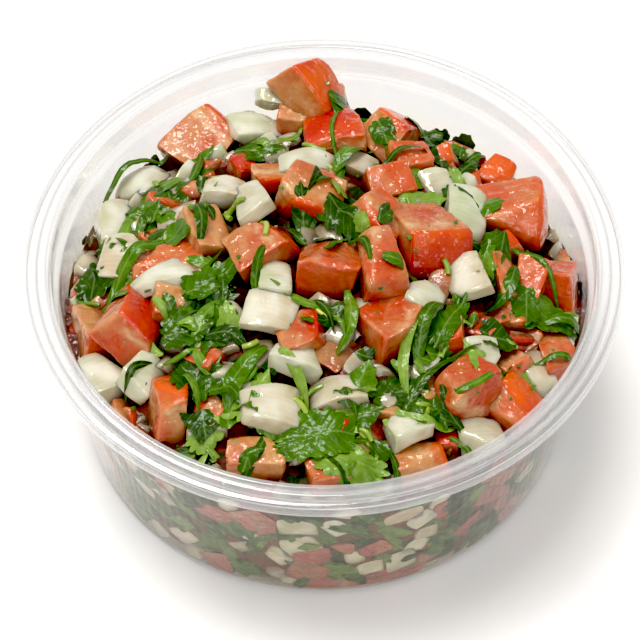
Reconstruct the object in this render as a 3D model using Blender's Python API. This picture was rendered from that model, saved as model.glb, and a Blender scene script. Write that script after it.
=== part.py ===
"""Fresh tomato, onion and herb salsa, heaped in a round clear deli tub.

Every length below is in millimetres, and metres() turns it into Blender's unit.
The origin is under the middle of the base, +Z is up, and -Y is the side that faces the viewer.
"""
import math

import bmesh
import bpy
import numpy as np
from mathutils import Matrix

# Driving dimensions of the tub
RIM_RADIUS = 58.5            # outer edge of the rolled rim
TUB_HEIGHT = 45.0
BASE_RADIUS = 48.7           # outside, above the bottom corner
SHOULDER_RADIUS = 52.3       # outside, where the straight wall ends
SHOULDER_HEIGHT = 38.6
CORNER_RADIUS = 2.5
WALL = 0.7
LIP_RADIUS = 52.8            # inside edge of the mouth
SKIRT_DROP = 3.0             # how far the rim's outer edge hangs below the mouth
FLANGE_DROP = 0.5            # how far the flat of the rim lies below the mouth
BEAD_RADIUS = 0.95           # of the rounded edge of the mouth
RIDGE_HEIGHT = 0.3           # of the low ring inside the rim's outer edge
STEP_HEIGHT = 1.3            # from the shoulder up to the step under the mouth
SHARP_ANGLE = 35.0           # edges that turn by more stay sharp
TUB_SIDES = 72

# Driving dimensions of the salsa
CLEARANCE = 0.35             # between the salsa and the tub
CORE_INSET = 0.4             # how far the core stays back behind the pieces at the wall
HEAP_TOP = 46.0              # level in the middle
BACK_LEVEL = 29.5            # level against the back of the tub
FRONT_LEVEL = 35.0           # level against the front
DOME_POWER = 2.8             # how flat the middle of the dome is
COVER = 3.2                  # depth of the layer of pieces over the core
COVER_FALL = 0.3             # share of that depth which is missing at the wall
RIPPLE = 0.8                 # height of the core's unevenness
RIPPLE_PITCH = (11.4, 13.4)  # its wavelengths along x and y
SINK = 0.6                   # how deep a piece settles into what it lies on
CORE_SIDES = 40
CORE_RINGS = 6
SEED = 4

# How the pieces are cut
KNIFE_SKEW = 0.2             # how far the box sides of a diced piece lean
ODD_CUTS = (0.95, 1.15)      # nearest and farthest odd cut, as a share of the half diagonal
CRISP = 9.0                  # power that sets how narrow the rounded edges are
ROLL_SPREAD = 8.0            # random roll of a piece to either side, in degrees
ONION_LAYER = 3.6            # thickness of one layer of a diced onion
LEAF_THICKNESS = 0.8
LEAF_LIFT = 0.6              # of a leaf over what it lies on
LEAF_LOBES = 4
LOBE_DEPTH = 0.2             # as a share of the leaf's reach
LEAF_WAVE = 0.6              # height of its waves
LEAF_PITCH = 10.5            # wavelength of its waves
STRIP_THICKNESS = 0.9
STRIP_LIFT = 0.5
STRIP_BOW = 0.12             # sideways bow of a ribbon, as a share of its length
STRIP_TAPER = 0.65           # share of its width that is missing at the ends

# The pieces on top, as they were spooned in.
# Diced pieces: middle x and y, rise of the top over the dome, length, width, height, turn, lean, roll.
TOMATO_DICE = (
    (-2.0, 44.0, 5.0, 14, 10, 9, 0, 0, 0),
    (-3.0, 46.5, 15.5, 10, 9, 11, -8, -40, -38),
    (-24.5, 39.5, 5.5, 14, 12, 9, 42, -18, 11),
    (2.0, 36.0, 3.0, 12, 11, 10, 8, 0, -14),
    (13.5, 37.5, 6.0, 9, 9, 10, 45, -36, 16),
    (17.0, 29.0, 2.0, 8, 7, 6, 10, 8, 0),
    (35.0, 31.0, 1.5, 7, 9, 8, -25, 10, 0),
    (-2.5, 15.5, 3.0, 13, 10, 9, -18, 6, -14),
    (-10.5, 22.0, 1.0, 8, 7, 6, 20, 5, -10),
    (13.0, 20.5, 1.0, 9, 7, 7, 15, 0, 0),
    (10.0, 9.5, 3.0, 11, 9, 9, -38, 14, -10),
    (20.5, 5.0, 4.5, 12, 12, 11, 20, 10, -34),
    (37.5, 17.5, 4.5, 15, 12, 10, -8, -14, -6),
    (-23.5, 8.0, 1.0, 8, 11, 7, 15, 10, 0),
    (-12.0, 3.0, 3.0, 12, 10, 9, 32, -16, -6),
    (1.0, -2.0, 3.5, 12, 12, 11, -14, 6, -12),
    (11.0, -3.0, 4.5, 8, 15, 8, 17, 8, 4),
    (13.5, -15.0, 2.5, 13, 11, 9, 38, 12, -10),
    (24.0, -15.5, 0.5, 7, 9, 8, 12, -10, -10),
    (-4.0, -17.0, 1.5, 9, 10, 8, 20, -14, -10),
    (-31.0, 2.0, 1.0, 14, 8, 6, 8, 0, -8),
    (-29.0, -8.5, 1.0, 9, 8, 7, 5, 10, -6),
    (-44.5, -9.0, 1.5, 8, 14, 9, 12, 10, -12),
    (-36.5, -12.0, 5.5, 10, 12, 13, 8, -46, -34),
    (-29.5, -29.5, 3.5, 7, 12, 11, 6, 4, -18),
    (-12.5, -41.0, 0.5, 11, 8, 8, -15, 0, -8),
    (3.0, -44.0, 0.0, 13, 7, 8, 8, 0, -6),
    (18.0, -42.0, 0.5, 11, 7, 8, 14, 0, -8),
    (26.5, -28.0, 3.5, 11, 10, 10, 38, 6, -16),
    (36.5, -28.5, 3.0, 12, 10, 9, -40, 18, -12),
    (35.5, 0.0, 1.0, 5, 11, 8, 5, 10, 0),
    (40.5, -1.0, 1.0, 6, 11, 7, -15, 0, 0),
    (46.5, 2.5, 4.0, 8, 12, 11, -8, -6, -20),
    (45.5, -15.0, 1.0, 7, 10, 8, 18, 6, -8),
)
ONION_DICE = (
    (-15.5, 46.0, 8.0, 6, 10, 3.4, 10, 75, 0),
    (-9.5, 46.5, 9.0, 5, 9, 3.2, 80, 70, 0),
    (-14.0, 40.0, 4.0, 11, 7, 4.0, 8, 16, -14),
    (-3.0, 26.0, 2.5, 12, 7, 4.2, 4, 10, -16),
    (-19.0, 19.0, 2.0, 10, 7, 4.4, -12, 12, -10),
    (-14.0, 14.0, 3.0, 7, 10, 4.0, 20, -14, -8),
    (28.0, 13.5, 3.0, 8, 12, 4.4, -12, 24, -10),
    (28.0, -3.5, 3.5, 8, 10, 3.6, 8, -14, -14),
    (19.5, -9.5, 1.5, 8, 8, 3.6, -25, 12, -8),
    (-41.0, 17.0, 2.0, 9, 11, 4.4, 12, 14, -8),
    (-39.5, 5.0, 1.0, 9, 10, 4.2, -15, -10, 0),
    (-36.5, 29.0, 2.0, 10, 7, 4.2, 35, 10, 0),
    (-29.5, -3.0, 4.5, 17, 5.5, 3.4, 3, 6, -20),
    (-9.5, -5.5, 1.5, 6, 10, 4.0, 5, 12, -10),
    (-10.5, -14.0, 3.0, 10, 8, 4.0, -14, 8, -14),
    (-5.0, -24.0, 2.5, 10, 6, 4.2, -18, 10, -16),
    (2.5, -30.0, 3.0, 12, 6, 3.8, 14, -10, -16),
    (-10.0, -32.5, 2.0, 12, 10, 4.2, -8, 12, -10),
    (-42.5, -21.0, 1.0, 8, 10, 4.4, 30, 0, 0),
    (-34.5, -23.0, 2.0, 7, 8, 4.0, -25, 14, -10),
    (15.5, -36.0, 2.0, 8, 8, 4.4, 30, 10, -14),
    (30.0, -36.5, 2.0, 9, 7, 4.6, 20, 8, -10),
    (40.5, -19.5, 3.5, 15, 6, 3.8, -48, 10, -16),
    (30.0, -19.5, 1.0, 7, 6, 4.2, 10, 6, 0),
)
# Leaf fragments: middle x and y, length, width, turn.
LEAVES = (
    (0.0, -38.5, 22, 10, 6), (42.0, -7.5, 18, 9, -12), (-22.0, -5.0, 13, 8, 35),
    (-24.0, -24.0, 15, 10, 80), (-13.5, -31.0, 12, 8, 60), (24.0, -15.0, 14, 6, 62),
    (4.0, 10.5, 14, 9, -50), (19.0, 16.5, 14, 5, 18), (21.0, 44.0, 12, 6, -18),
    (-34.0, 19.0, 13, 8, 20), (-45.0, 2.0, 11, 8, 80), (15.0, -29.0, 14, 8, 20),
    (4.0, 43.0, 11, 6, -15), (-25.0, 26.0, 13, 5, 65), (4.5, -43.5, 15, 9, -15),
)
# Ribbons and stems: start x and y, end x and y, width, arch over the pieces beneath.
STRIPS = (
    (-42.0, -5.0, -29.0, 8.0, 3.0, 2.0), (-18.0, -34.0, -11.0, -20.0, 4.0, 1.5),
    (4.5, -8.0, 2.5, -22.0, 3.0, 1.5), (-46.0, 20.0, -31.0, 36.0, 1.3, 5.0),
    (5.0, 48.0, 17.0, 45.0, 1.4, 1.0), (-9.0, -23.0, -3.0, -34.0, 2.6, 1.5),
    (-31.0, -14.0, -22.0, -16.0, 1.8, 1.0), (35.0, 8.0, 46.0, -4.0, 1.2, 1.0),
    (18.0, -25.0, 24.0, -9.0, 3.0, 2.0),
)

# Smaller dice that drop into the barest spots
FILL_PIECES = 46
FILL_SIZES = (5.0, 8.5)      # shortest and longest side
FILL_HEIGHTS = (5.0, 7.0)    # of tomato; onion has the thickness of its layer
FILL_RISES = (-2.5, 0.0)     # of the top, from the dome
FILL_TILT = 25.0             # most lean and roll to either side, in degrees
FILL_MARGIN = 2.0            # nearest to the wall that the middle of one comes

# The height map that pieces are laid on
MAP_STEP = 1.0
MAP_REACH = 54.0
SPOT_PASSES = 8              # of smoothing before the barest spot is looked for
REST_PASSES = 3              # before the leaves are laid over it


def metres(length):
    return np.asarray(length) * 0.001


def clear_scene():
    for old in list(bpy.data.objects):
        bpy.data.objects.remove(old, do_unlink=True)


def plain_material(name, colour, roughness, alpha=1.0):
    material = bpy.data.materials.new(name)
    material.use_nodes = True
    shader = material.node_tree.nodes["Principled BSDF"]
    shader.inputs["Base Color"].default_value = (*colour, 1.0)
    shader.inputs["Roughness"].default_value = roughness
    shader.inputs["Metallic"].default_value = 0.0
    shader.inputs["Alpha"].default_value = alpha
    return material


def new_object(name, bm, material=None, collection=None):
    mesh = bpy.data.meshes.new(name)
    bm.to_mesh(mesh)
    bm.free()
    if material:
        mesh.materials.append(material)
    obj = bpy.data.objects.new(name, mesh)
    (collection or bpy.context.scene.collection).objects.link(obj)
    return obj


def tub_inside(z):
    """Inner radius of the tub's straight wall at height z."""
    slope = (SHOULDER_RADIUS - BASE_RADIUS) / (SHOULDER_HEIGHT - CORNER_RADIUS)
    return BASE_RADIUS - WALL + slope * (np.minimum(z, SHOULDER_HEIGHT) - CORNER_RADIUS)


def arc(radius, height, size, start, end, steps):
    """Points on an arc of a turned profile: centre radius and height, size, angles in degrees."""
    angles = np.radians(np.linspace(start, end, steps))
    return [(radius + size * math.cos(a), height + size * math.sin(a)) for a in angles]


def tub_profile():
    """Radius and height of the tub's section, from the middle of the base round to the floor."""
    corner = BASE_RADIUS - CORNER_RADIUS
    skirt = TUB_HEIGHT - SKIRT_DROP
    flange = TUB_HEIGHT - FLANGE_DROP
    mouth = LIP_RADIUS + WALL
    outside = [(0.0, 0.0)]
    outside += arc(corner, CORNER_RADIUS, CORNER_RADIUS, -90, 0, 4)
    outside += [(SHOULDER_RADIUS, SHOULDER_HEIGHT), (mouth, SHOULDER_HEIGHT + STEP_HEIGHT)]
    outside += [(mouth + 0.1, flange - WALL - 0.1), (RIM_RADIUS - 1.1, flange - WALL)]
    outside += [(RIM_RADIUS - WALL, flange - WALL - 0.5), (RIM_RADIUS - WALL, skirt)]
    outside += [(RIM_RADIUS, skirt), (RIM_RADIUS, flange - 0.6), (RIM_RADIUS - 0.4, flange - 0.1)]
    ridge = [(RIM_RADIUS - 1.6, flange + RIDGE_HEIGHT), (RIM_RADIUS - 2.2, flange)]
    lip = [(LIP_RADIUS + 2.3, flange)]
    lip += arc(LIP_RADIUS + 1.1, TUB_HEIGHT - BEAD_RADIUS, BEAD_RADIUS, 55, 165, 4)
    step = [(LIP_RADIUS - 0.1, SHOULDER_HEIGHT + STEP_HEIGHT + 0.4),
            (tub_inside(SHOULDER_HEIGHT), SHOULDER_HEIGHT + 0.8)]
    inside = [(tub_inside(CORNER_RADIUS), CORNER_RADIUS)]
    inside += arc(corner, CORNER_RADIUS, CORNER_RADIUS - WALL, -30, -90, 3)
    return outside + ridge + lip + step + inside + [(0.0, WALL)]


def build_tub():
    bm = bmesh.new()
    rings = [bm.verts.new(metres((radius, 0.0, height))) for radius, height in tub_profile()]
    edges = [bm.edges.new(pair) for pair in zip(rings, rings[1:])]
    bmesh.ops.spin(bm, geom=rings + edges, cent=(0, 0, 0), axis=(0, 0, 1), angle=math.tau,
                   steps=TUB_SIDES, use_merge=True)
    bmesh.ops.remove_doubles(bm, verts=bm.verts, dist=metres(0.01))
    bmesh.ops.recalc_face_normals(bm, faces=bm.faces)
    material = plain_material("clear_tub_plastic", (0.86, 0.87, 0.87), 0.15, alpha=0.35)
    tub = new_object("tub", bm, material)
    tub.data.shade_smooth()
    tub.data.set_sharp_from_angle(angle=math.radians(SHARP_ANGLE))
    return tub


def dome(x, y):
    """Level of the salsa: the wall's level, higher in front, rising to the middle."""
    across = np.minimum(np.hypot(x, y) / tub_inside(BACK_LEVEL), 1.0)
    at_wall = BACK_LEVEL + (FRONT_LEVEL - BACK_LEVEL) * (0.5 - 0.5 * y / tub_inside(BACK_LEVEL))
    return at_wall + (HEAP_TOP - at_wall) * (1.0 - across ** DOME_POWER)


class HeightMap:
    """Top of all that has been laid so far, on a square grid of cells."""

    def __init__(self):
        cells = np.arange(-MAP_REACH, MAP_REACH + MAP_STEP, MAP_STEP)
        self.x, self.y = np.meshgrid(cells, cells, indexing="ij")
        self.top = core_level(self.x, self.y)
        self.inside = np.hypot(self.x, self.y) < tub_inside(BACK_LEVEL) - FILL_MARGIN

    def cells(self, x, y):
        """Column and row of the cell under each point."""
        last = len(self.x) - 1
        column = np.clip(np.rint((x + MAP_REACH) / MAP_STEP), 0, last).astype(int)
        row = np.clip(np.rint((y + MAP_REACH) / MAP_STEP), 0, last).astype(int)
        return column, row

    def add(self, points, faces, steps=6):
        """Raise the map to the triangles of a piece, sampled by their corner weights."""
        weights = [(i, j, steps - i - j) for i in range(steps + 1) for j in range(steps + 1 - i)]
        spots = (np.array(weights) / steps @ points[faces]).reshape(-1, 3)
        np.maximum.at(self.top, self.cells(spots[:, 0], spots[:, 1]), spots[:, 2])

    def room_under(self, points):
        """How far the lowest third of a piece hangs over the map, on average."""
        z = points[:, 2]
        low = points[z < z.min() + np.ptp(z) / 3]
        return np.mean(low[:, 2] - self.top[self.cells(low[:, 0], low[:, 1])])

    def smooth(self, passes):
        """The map averaged with its four neighbours, so many times over."""
        level = self.top.copy()
        for _ in range(passes):
            around = np.roll(level, 1, 0) + np.roll(level, -1, 0)
            around += np.roll(level, 1, 1) + np.roll(level, -1, 1)
            level = 0.5 * level + 0.125 * around
        return level

    def barest(self):
        """Middle of the barest spot, where least of the cover over the core has been laid."""
        bare = (dome(self.x, self.y) - self.smooth(SPOT_PASSES)) / cover(self.x, self.y)
        place = np.unravel_index(np.argmax(np.where(self.inside, bare, -1.0)), bare.shape)
        return self.x[place], self.y[place]


def cover(x, y):
    """Depth of the layer of pieces over the core, thinner at the wall."""
    across = np.minimum(np.hypot(x, y) / tub_inside(BACK_LEVEL), 1.0)
    return COVER * (1.0 - COVER_FALL * across ** 4)


def core_level(x, y):
    """Surface of the plain core, a little uneven."""
    ripple = np.sin(math.tau * x / RIPPLE_PITCH[0] + 1.0) * np.cos(math.tau * y / RIPPLE_PITCH[1])
    return dome(x, y) - cover(x, y) + RIPPLE * ripple


def solid_object(name, points, faces, collection=None):
    """Mesh object from points in millimetres and faces, with its faces turned outwards."""
    bm = bmesh.new()
    corners = [bm.verts.new(point) for point in metres(points)]
    for face in faces:
        bm.faces.new([corners[i] for i in face])
    bmesh.ops.recalc_face_normals(bm, faces=bm.faces)
    return new_object(name, bm, collection=collection)


def ring_faces(first, second):
    """Triangles between two closed rings of as many points, split alike all the way round."""
    faces = []
    for i in range(len(first)):
        j = (i + 1) % len(first)
        faces += [(first[i], first[j], second[j]), (first[i], second[j], second[i])]
    return faces


def fan_faces(ring, middle):
    return [(ring[i], ring[(i + 1) % len(ring)], middle) for i in range(len(ring))]


def build_core():
    """Closed solid under the pieces: floor, wall and domed top, ring by ring."""
    angles = np.linspace(0, math.tau, CORE_SIDES, endpoint=False)
    circle = np.stack((np.cos(angles), np.sin(angles)), axis=1)
    floor = WALL + CLEARANCE
    wall_level = core_level(*(circle * tub_inside(BACK_LEVEL)).T)
    edge = (tub_inside(wall_level) - CLEARANCE - CORE_INSET)[:, None]
    rings = [np.column_stack((circle * (BASE_RADIUS - CORNER_RADIUS), np.full(CORE_SIDES, floor))),
             np.column_stack((circle * (tub_inside(CORNER_RADIUS) - CLEARANCE),
                              np.full(CORE_SIDES, CORNER_RADIUS + CLEARANCE)))]
    for share in np.linspace(1, 0, CORE_RINGS, endpoint=False):
        flat = circle * edge * share
        rings.append(np.column_stack((flat, core_level(flat[:, 0], flat[:, 1]))))
    numbers = np.arange(len(rings) * CORE_SIDES).reshape(-1, CORE_SIDES)
    faces = fan_faces(numbers[0], numbers.size) + fan_faces(numbers[-1], numbers.size + 1)
    for lower, upper in zip(numbers, numbers[1:]):
        faces += ring_faces(lower, upper)
    middles = [(0.0, 0.0, floor), (0.0, 0.0, core_level(0.0, 0.0))]
    return solid_object("salsa_heap", np.vstack(rings + [middles]), faces)


def cube_grid(cells):
    """Points and triangles on a cube of side 2, with cells x cells squares on each side."""
    line = np.linspace(-1, 1, cells + 1)
    u, v = np.meshgrid(line, line, indexing="ij")
    corner = (np.arange(cells)[:, None] * (cells + 1) + np.arange(cells)).ravel()
    across, beyond = corner + cells + 1, corner + cells + 2
    square = np.vstack((np.stack((corner, across, beyond), 1), np.stack((corner, beyond, corner + 1), 1)))
    points, faces = [], []
    for axis in range(3):
        for side in (1, -1):
            faces.append(square[:, ::side] + len(points) * u.size)
            points.append(np.roll(np.stack((np.full(u.size, side), u.ravel(), v.ravel()), 1), axis, 1))
    points, number = np.unique(np.vstack(points).round(6), axis=0, return_inverse=True)
    return points, number.reshape(-1)[np.vstack(faces)]


def dice_radius(directions, half, draw):
    """Distance to the surface of a knife-cut piece along each direction.

    Six skewed box sides and two odd cuts bound the piece. Each gives the share
    (direction . normal / distance), and a high power of the shares rounds the edges.
    """
    normals = np.vstack((np.eye(3), -np.eye(3))) + draw.uniform(-KNIFE_SKEW, KNIFE_SKEW, (6, 3))
    normals = np.vstack((normals, draw.normal(size=(2, 3))))
    normals /= np.linalg.norm(normals, axis=1)[:, None]
    distance = np.abs(normals * half).max(axis=1)
    distance[6:] = np.linalg.norm(normals[6:] * half, axis=1) * draw.uniform(*ODD_CUTS, 2)
    share = np.maximum(directions @ normals.T / distance, 0.0)
    return (share ** CRISP).sum(axis=1) ** (-1.0 / CRISP)


def turned(points, turn, lean, roll):
    """Points rolled about X, leaned about Y and turned about Z, angles in degrees."""
    matrix = Matrix.Rotation(math.radians(turn), 3, "Z") @ Matrix.Rotation(math.radians(lean), 3, "Y")
    matrix = matrix @ Matrix.Rotation(math.radians(roll), 3, "X")
    return points @ np.array(matrix).T


def held_in_tub(points, gap):
    """Points pulled in where they would come nearer to the tub's inner wall than the gap."""
    reach = np.hypot(points[:, 0], points[:, 1])
    scale = np.minimum(1.0, (tub_inside(points[:, 2]) - gap) / np.maximum(reach, 1.0))
    return points * np.stack((scale, scale, np.ones_like(scale)), axis=1)


def lay_dice(row, draw, grid, pieces, heights):
    """Lay one diced piece: its top at the dome plus its rise, or lower where it would float."""
    x, y, rise, length, width, height, turn, lean, roll = row
    half = 0.5 * np.array((length, width, height))
    cube, faces = grid
    directions = cube * half
    directions /= np.linalg.norm(directions, axis=1)[:, None]
    points = directions * dice_radius(directions, half, draw)[:, None]
    points = turned(points, turn, lean, roll + draw.uniform(-ROLL_SPREAD, ROLL_SPREAD))
    points += np.array((x, y, dome(x, y) + rise - points[:, 2].max()))
    points[:, 2] -= max(0.0, heights.room_under(points) + SINK)
    points = held_in_tub(points, CLEARANCE + draw.uniform(0.0, CORE_INSET))
    solid_object("piece", points, faces, pieces)
    heights.add(points, faces)


def fill_gaps(draw, grid, pieces, heights):
    """Smaller dice, tomato and onion by turns, each into the barest spot that is left."""
    for number in range(FILL_PIECES):
        x, y = heights.barest()
        length, width = draw.uniform(*FILL_SIZES, 2)
        height = ONION_LAYER if number % 2 else draw.uniform(*FILL_HEIGHTS)
        rise, turn = draw.uniform(*FILL_RISES), draw.uniform(0, 180)
        lean, roll = draw.uniform(-FILL_TILT, FILL_TILT, 2)
        lay_dice((x, y, rise, length, width, height, turn, lean, roll), draw, grid, pieces, heights)


def level_at(level, x, y):
    """A height map's value at each point, between its four nearest cells."""
    column = np.clip((x + MAP_REACH) / MAP_STEP, 0, len(level) - 1.001)
    row = np.clip((y + MAP_REACH) / MAP_STEP, 0, len(level) - 1.001)
    i, j = column.astype(int), row.astype(int)
    u, v = column - i, row - j
    left = level[i, j] * (1 - v) + level[i, j + 1] * v
    right = level[i + 1, j] * (1 - v) + level[i + 1, j + 1] * v
    return left * (1 - u) + right * u


def lay_leaf(row, draw, pieces, level):
    """Lay one leaf fragment: a thin wavy plate with a lobed outline, draped over the map.

    The outline's reach is 1 + LOBE_DEPTH cos(LEAF_LOBES x angle), and both faces are split alike.
    """
    x, y, length, width, turn = row
    sides, phase = 3 * LEAF_LOBES, draw.uniform(0, math.tau)
    angles = np.linspace(0, math.tau, sides, endpoint=False)
    reach = 1.0 + LOBE_DEPTH * np.cos(LEAF_LOBES * angles)
    outline = np.column_stack((np.cos(angles) * length / 2, np.sin(angles) * width / 2))
    flat = np.vstack((outline * reach[:, None], np.zeros((1, 2))))
    flat = turned(np.column_stack((flat, np.zeros(len(flat)))), turn, 0, 0)[:, :2] + (x, y)
    wave = LEAF_WAVE * np.sin(math.tau * (flat[:, 0] + flat[:, 1]) / LEAF_PITCH + phase)
    z = level_at(level, flat[:, 0], flat[:, 1]) + LEAF_LIFT + wave
    bottom = held_in_tub(np.column_stack((flat, z)), CLEARANCE + draw.uniform(0.0, CORE_INSET))
    top = bottom + np.array((0.0, 0.0, LEAF_THICKNESS))
    rim, middle, above = np.arange(sides), sides, sides + 1
    faces = fan_faces(rim, middle) + fan_faces(rim + above, middle + above) + ring_faces(rim, rim + above)
    solid_object("piece", np.vstack((bottom, top)), faces, pieces)


def lay_strip(row, draw, pieces, level):
    """Lay one ribbon or stem: a four-sided section along a bowed path over the map."""
    start_x, start_y, end_x, end_y, width, arch = row
    gap = CLEARANCE + draw.uniform(0.0, CORE_INSET)
    stations = 8
    along = np.linspace(0, 1, stations)
    chord = np.array((end_x - start_x, end_y - start_y))
    side = np.array((-chord[1], chord[0])) / np.hypot(*chord)
    bow = np.sin(math.pi * along)
    path = np.array((start_x, start_y)) + np.outer(along, chord)
    path += STRIP_BOW * np.hypot(*chord) * np.outer(bow, side)
    z = level_at(level, path[:, 0], path[:, 1]) + STRIP_LIFT + arch * bow
    taper = 1 - STRIP_TAPER * (1 - bow)
    section = []
    for across, up in ((-0.5, 0.0), (0.5, 0.0), (0.5, STRIP_THICKNESS), (-0.5, STRIP_THICKNESS)):
        flat = path + np.outer(across * width * taper, side)
        section.append(held_in_tub(np.column_stack((flat, z + up)), gap))
    points = np.stack(section, axis=1).reshape(-1, 3)
    numbers = np.arange(4 * stations).reshape(stations, 4)
    faces = [tuple(numbers[0][::-1]), tuple(numbers[-1])]
    for one, two in zip(numbers, numbers[1:]):
        faces += ring_faces(one, two)
    solid_object("piece", points, faces, pieces)


def fuse(core, pieces):
    """Join the pieces to the core as one closed body and clear the loose pieces away."""
    union = core.modifiers.new("Fuse pieces", "BOOLEAN")
    union.operation = "UNION"
    union.operand_type = "COLLECTION"
    union.collection = pieces
    mesh = bpy.data.meshes.new_from_object(core.evaluated_get(bpy.context.evaluated_depsgraph_get()))
    core.modifiers.clear()
    core.data = mesh
    for piece in list(pieces.objects):
        bpy.data.objects.remove(piece, do_unlink=True)
    bpy.data.collections.remove(pieces)


def keep_outer_body(obj):
    """Drop loose scraps, and fill sealed hollows by dropping their walls."""
    bm = bmesh.new()
    bm.from_mesh(obj.data)
    unseen = set(bm.faces)
    bodies = []
    while unseen:
        body, fresh = set(), {unseen.pop()}
        while fresh:
            body |= fresh
            fresh = {face for old in fresh for edge in old.edges for face in edge.link_faces} - body
        unseen -= body
        bodies.append(body)
    outer = max(bodies, key=len)
    bmesh.ops.delete(bm, geom=[face for face in bm.faces if face not in outer], context="FACES")
    bmesh.ops.triangulate(bm, faces=bm.faces)
    bm.to_mesh(obj.data)
    bm.free()


def build_salsa():
    draw = np.random.default_rng(SEED)
    pieces = bpy.data.collections.new("pieces")
    bpy.context.scene.collection.children.link(pieces)
    heights = HeightMap()
    fine, coarse = cube_grid(2), cube_grid(1)
    for row in TOMATO_DICE:
        lay_dice(row, draw, fine, pieces, heights)
    for row in ONION_DICE:
        lay_dice(row, draw, coarse, pieces, heights)
    fill_gaps(draw, coarse, pieces, heights)
    level = heights.smooth(REST_PASSES)
    for row in LEAVES:
        lay_leaf(row, draw, pieces, level)
    for row in STRIPS:
        lay_strip(row, draw, pieces, level)
    core = build_core()
    fuse(core, pieces)
    keep_outer_body(core)
    core.data.materials.clear()
    core.data.materials.append(plain_material("salsa_mix", (0.78, 0.33, 0.20), 0.35))


clear_scene()
build_tub()
build_salsa()
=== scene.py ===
# Pico de gallo in a clear deli tub: the looks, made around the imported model.
import math

import bpy
import numpy as np
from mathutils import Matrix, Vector


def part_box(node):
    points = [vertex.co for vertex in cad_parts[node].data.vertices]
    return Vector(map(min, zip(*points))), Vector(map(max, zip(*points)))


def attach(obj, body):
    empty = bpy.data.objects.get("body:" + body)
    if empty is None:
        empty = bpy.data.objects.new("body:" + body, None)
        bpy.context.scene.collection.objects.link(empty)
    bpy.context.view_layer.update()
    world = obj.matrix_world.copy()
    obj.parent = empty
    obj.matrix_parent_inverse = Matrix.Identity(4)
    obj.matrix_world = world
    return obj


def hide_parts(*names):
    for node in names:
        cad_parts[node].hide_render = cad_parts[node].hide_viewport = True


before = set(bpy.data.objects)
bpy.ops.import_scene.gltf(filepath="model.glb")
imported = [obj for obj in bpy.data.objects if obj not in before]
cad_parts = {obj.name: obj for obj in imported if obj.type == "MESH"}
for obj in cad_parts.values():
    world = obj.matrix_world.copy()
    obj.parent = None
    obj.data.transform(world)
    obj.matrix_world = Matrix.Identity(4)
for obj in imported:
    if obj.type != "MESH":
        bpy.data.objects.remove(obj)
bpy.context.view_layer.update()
mm = 0.001                     # every length below is in millimetres, and meshes are made in metres
print("frame loaded:", sorted(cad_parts))


# Camera, floor and lights

cameraView = {
    "elevation": 52.58,        # degrees above the floor
    "distance": 600.0,
    "lens": 169.2,
    "sensor": 36.0,
    "target": (-0.7, 0.0, 25.1),
}


def addCamera(view):
    # Place = target + distance * (0, -cos e, sin e), and the camera leans 90 - e degrees from straight down.
    data = bpy.data.cameras.new("camera")
    data.sensor_width = view["sensor"]
    data.lens = view["lens"]
    data.clip_start = 10 * mm
    camera = bpy.data.objects.new("camera", data)
    up = math.radians(view["elevation"])
    back = Vector((0.0, -math.cos(up), math.sin(up)))
    camera.location = (Vector(view["target"]) + view["distance"] * back) * mm
    camera.rotation_euler = (math.pi / 2 - up, 0.0, 0.0)
    bpy.context.scene.collection.objects.link(camera)
    bpy.context.scene.camera = camera


studio = {
    "softboxes": {             # place, width, watts, colour
        "keyLight": ((-400, 330, 1550), 700, 20.5, (1.0, 0.985, 0.96)),
        "fillLight": ((250, -1200, 1300), 1100, 10.5, (1.0, 0.99, 0.98)),
    },
    "aim": (0.0, 0.0, 30.0),
    "worldColour": (1.0, 0.985, 0.97),
    "worldStrength": 0.49,
    "blackLevel": 0.03,        # of the film: what is darker turns black
    "floorColour": (0.96, 0.955, 0.95),
    "floorMottle": ((0.8, 0.8, 0.8), 0.3, 0.7, 0.02),      # colour, noise from and to, share
    "floorFinish": {"Roughness": 0.6},
    "floorHalf": 2500.0,
}


def addStudio(settings):
    # Softboxes that face the aim, an even pale room, and a film that turns what is under blackLevel black
    for name, (place, width, watts, colour) in settings["softboxes"].items():
        data = bpy.data.lights.new(name, "AREA")
        data.size = width * mm
        data.energy = watts
        data.color = colour
        light = bpy.data.objects.new(name, data)
        light.location = Vector(place) * mm
        aim = Vector(settings["aim"]) * mm - light.location
        light.rotation_euler = aim.to_track_quat("-Z", "Y").to_euler()
        bpy.context.scene.collection.objects.link(light)
    world = bpy.data.worlds.new("softRoom")
    world.use_nodes = True
    sky = world.node_tree.nodes["Background"]
    sky.inputs["Color"].default_value = (*settings["worldColour"], 1.0)
    sky.inputs["Strength"].default_value = settings["worldStrength"]
    bpy.context.scene.world = world
    film = bpy.context.scene.view_settings
    film.view_transform = "Standard"
    film.use_curve_mapping = True
    film.curve_mapping.black_level = [settings["blackLevel"]] * 3
    film.curve_mapping.update()


def addFloor(settings):
    # A flat pale sheet, faintly mottled
    half = settings["floorHalf"] * mm
    corners = [(-half, -half, 0), (half, -half, 0), (half, half, 0), (-half, half, 0)]
    mesh = bpy.data.meshes.new("floor")
    mesh.from_pydata(corners, [], [(0, 1, 2, 3)])
    material, tree, shader = newMaterial("paleFloor", settings["floorFinish"])
    colour = layOver(tree, settings["floorColour"], noise(tree, 4.0), *settings["floorMottle"])
    feed(tree, shader, {"Base Color": colour})
    mesh.materials.append(material)
    floor = bpy.data.objects.new("floor", mesh)
    bpy.context.scene.collection.objects.link(floor)


# Small helpers for materials

def newMaterial(name, finish=None):
    # A material, its nodes and its shader, with what is the same all over set on the shader's own sockets
    material = bpy.data.materials.new(name)
    material.use_nodes = True
    shader = material.node_tree.nodes["Principled BSDF"]
    for key, value in (finish or {}).items():
        shader.inputs[key].default_value = value
    return material, material.node_tree, shader


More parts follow.
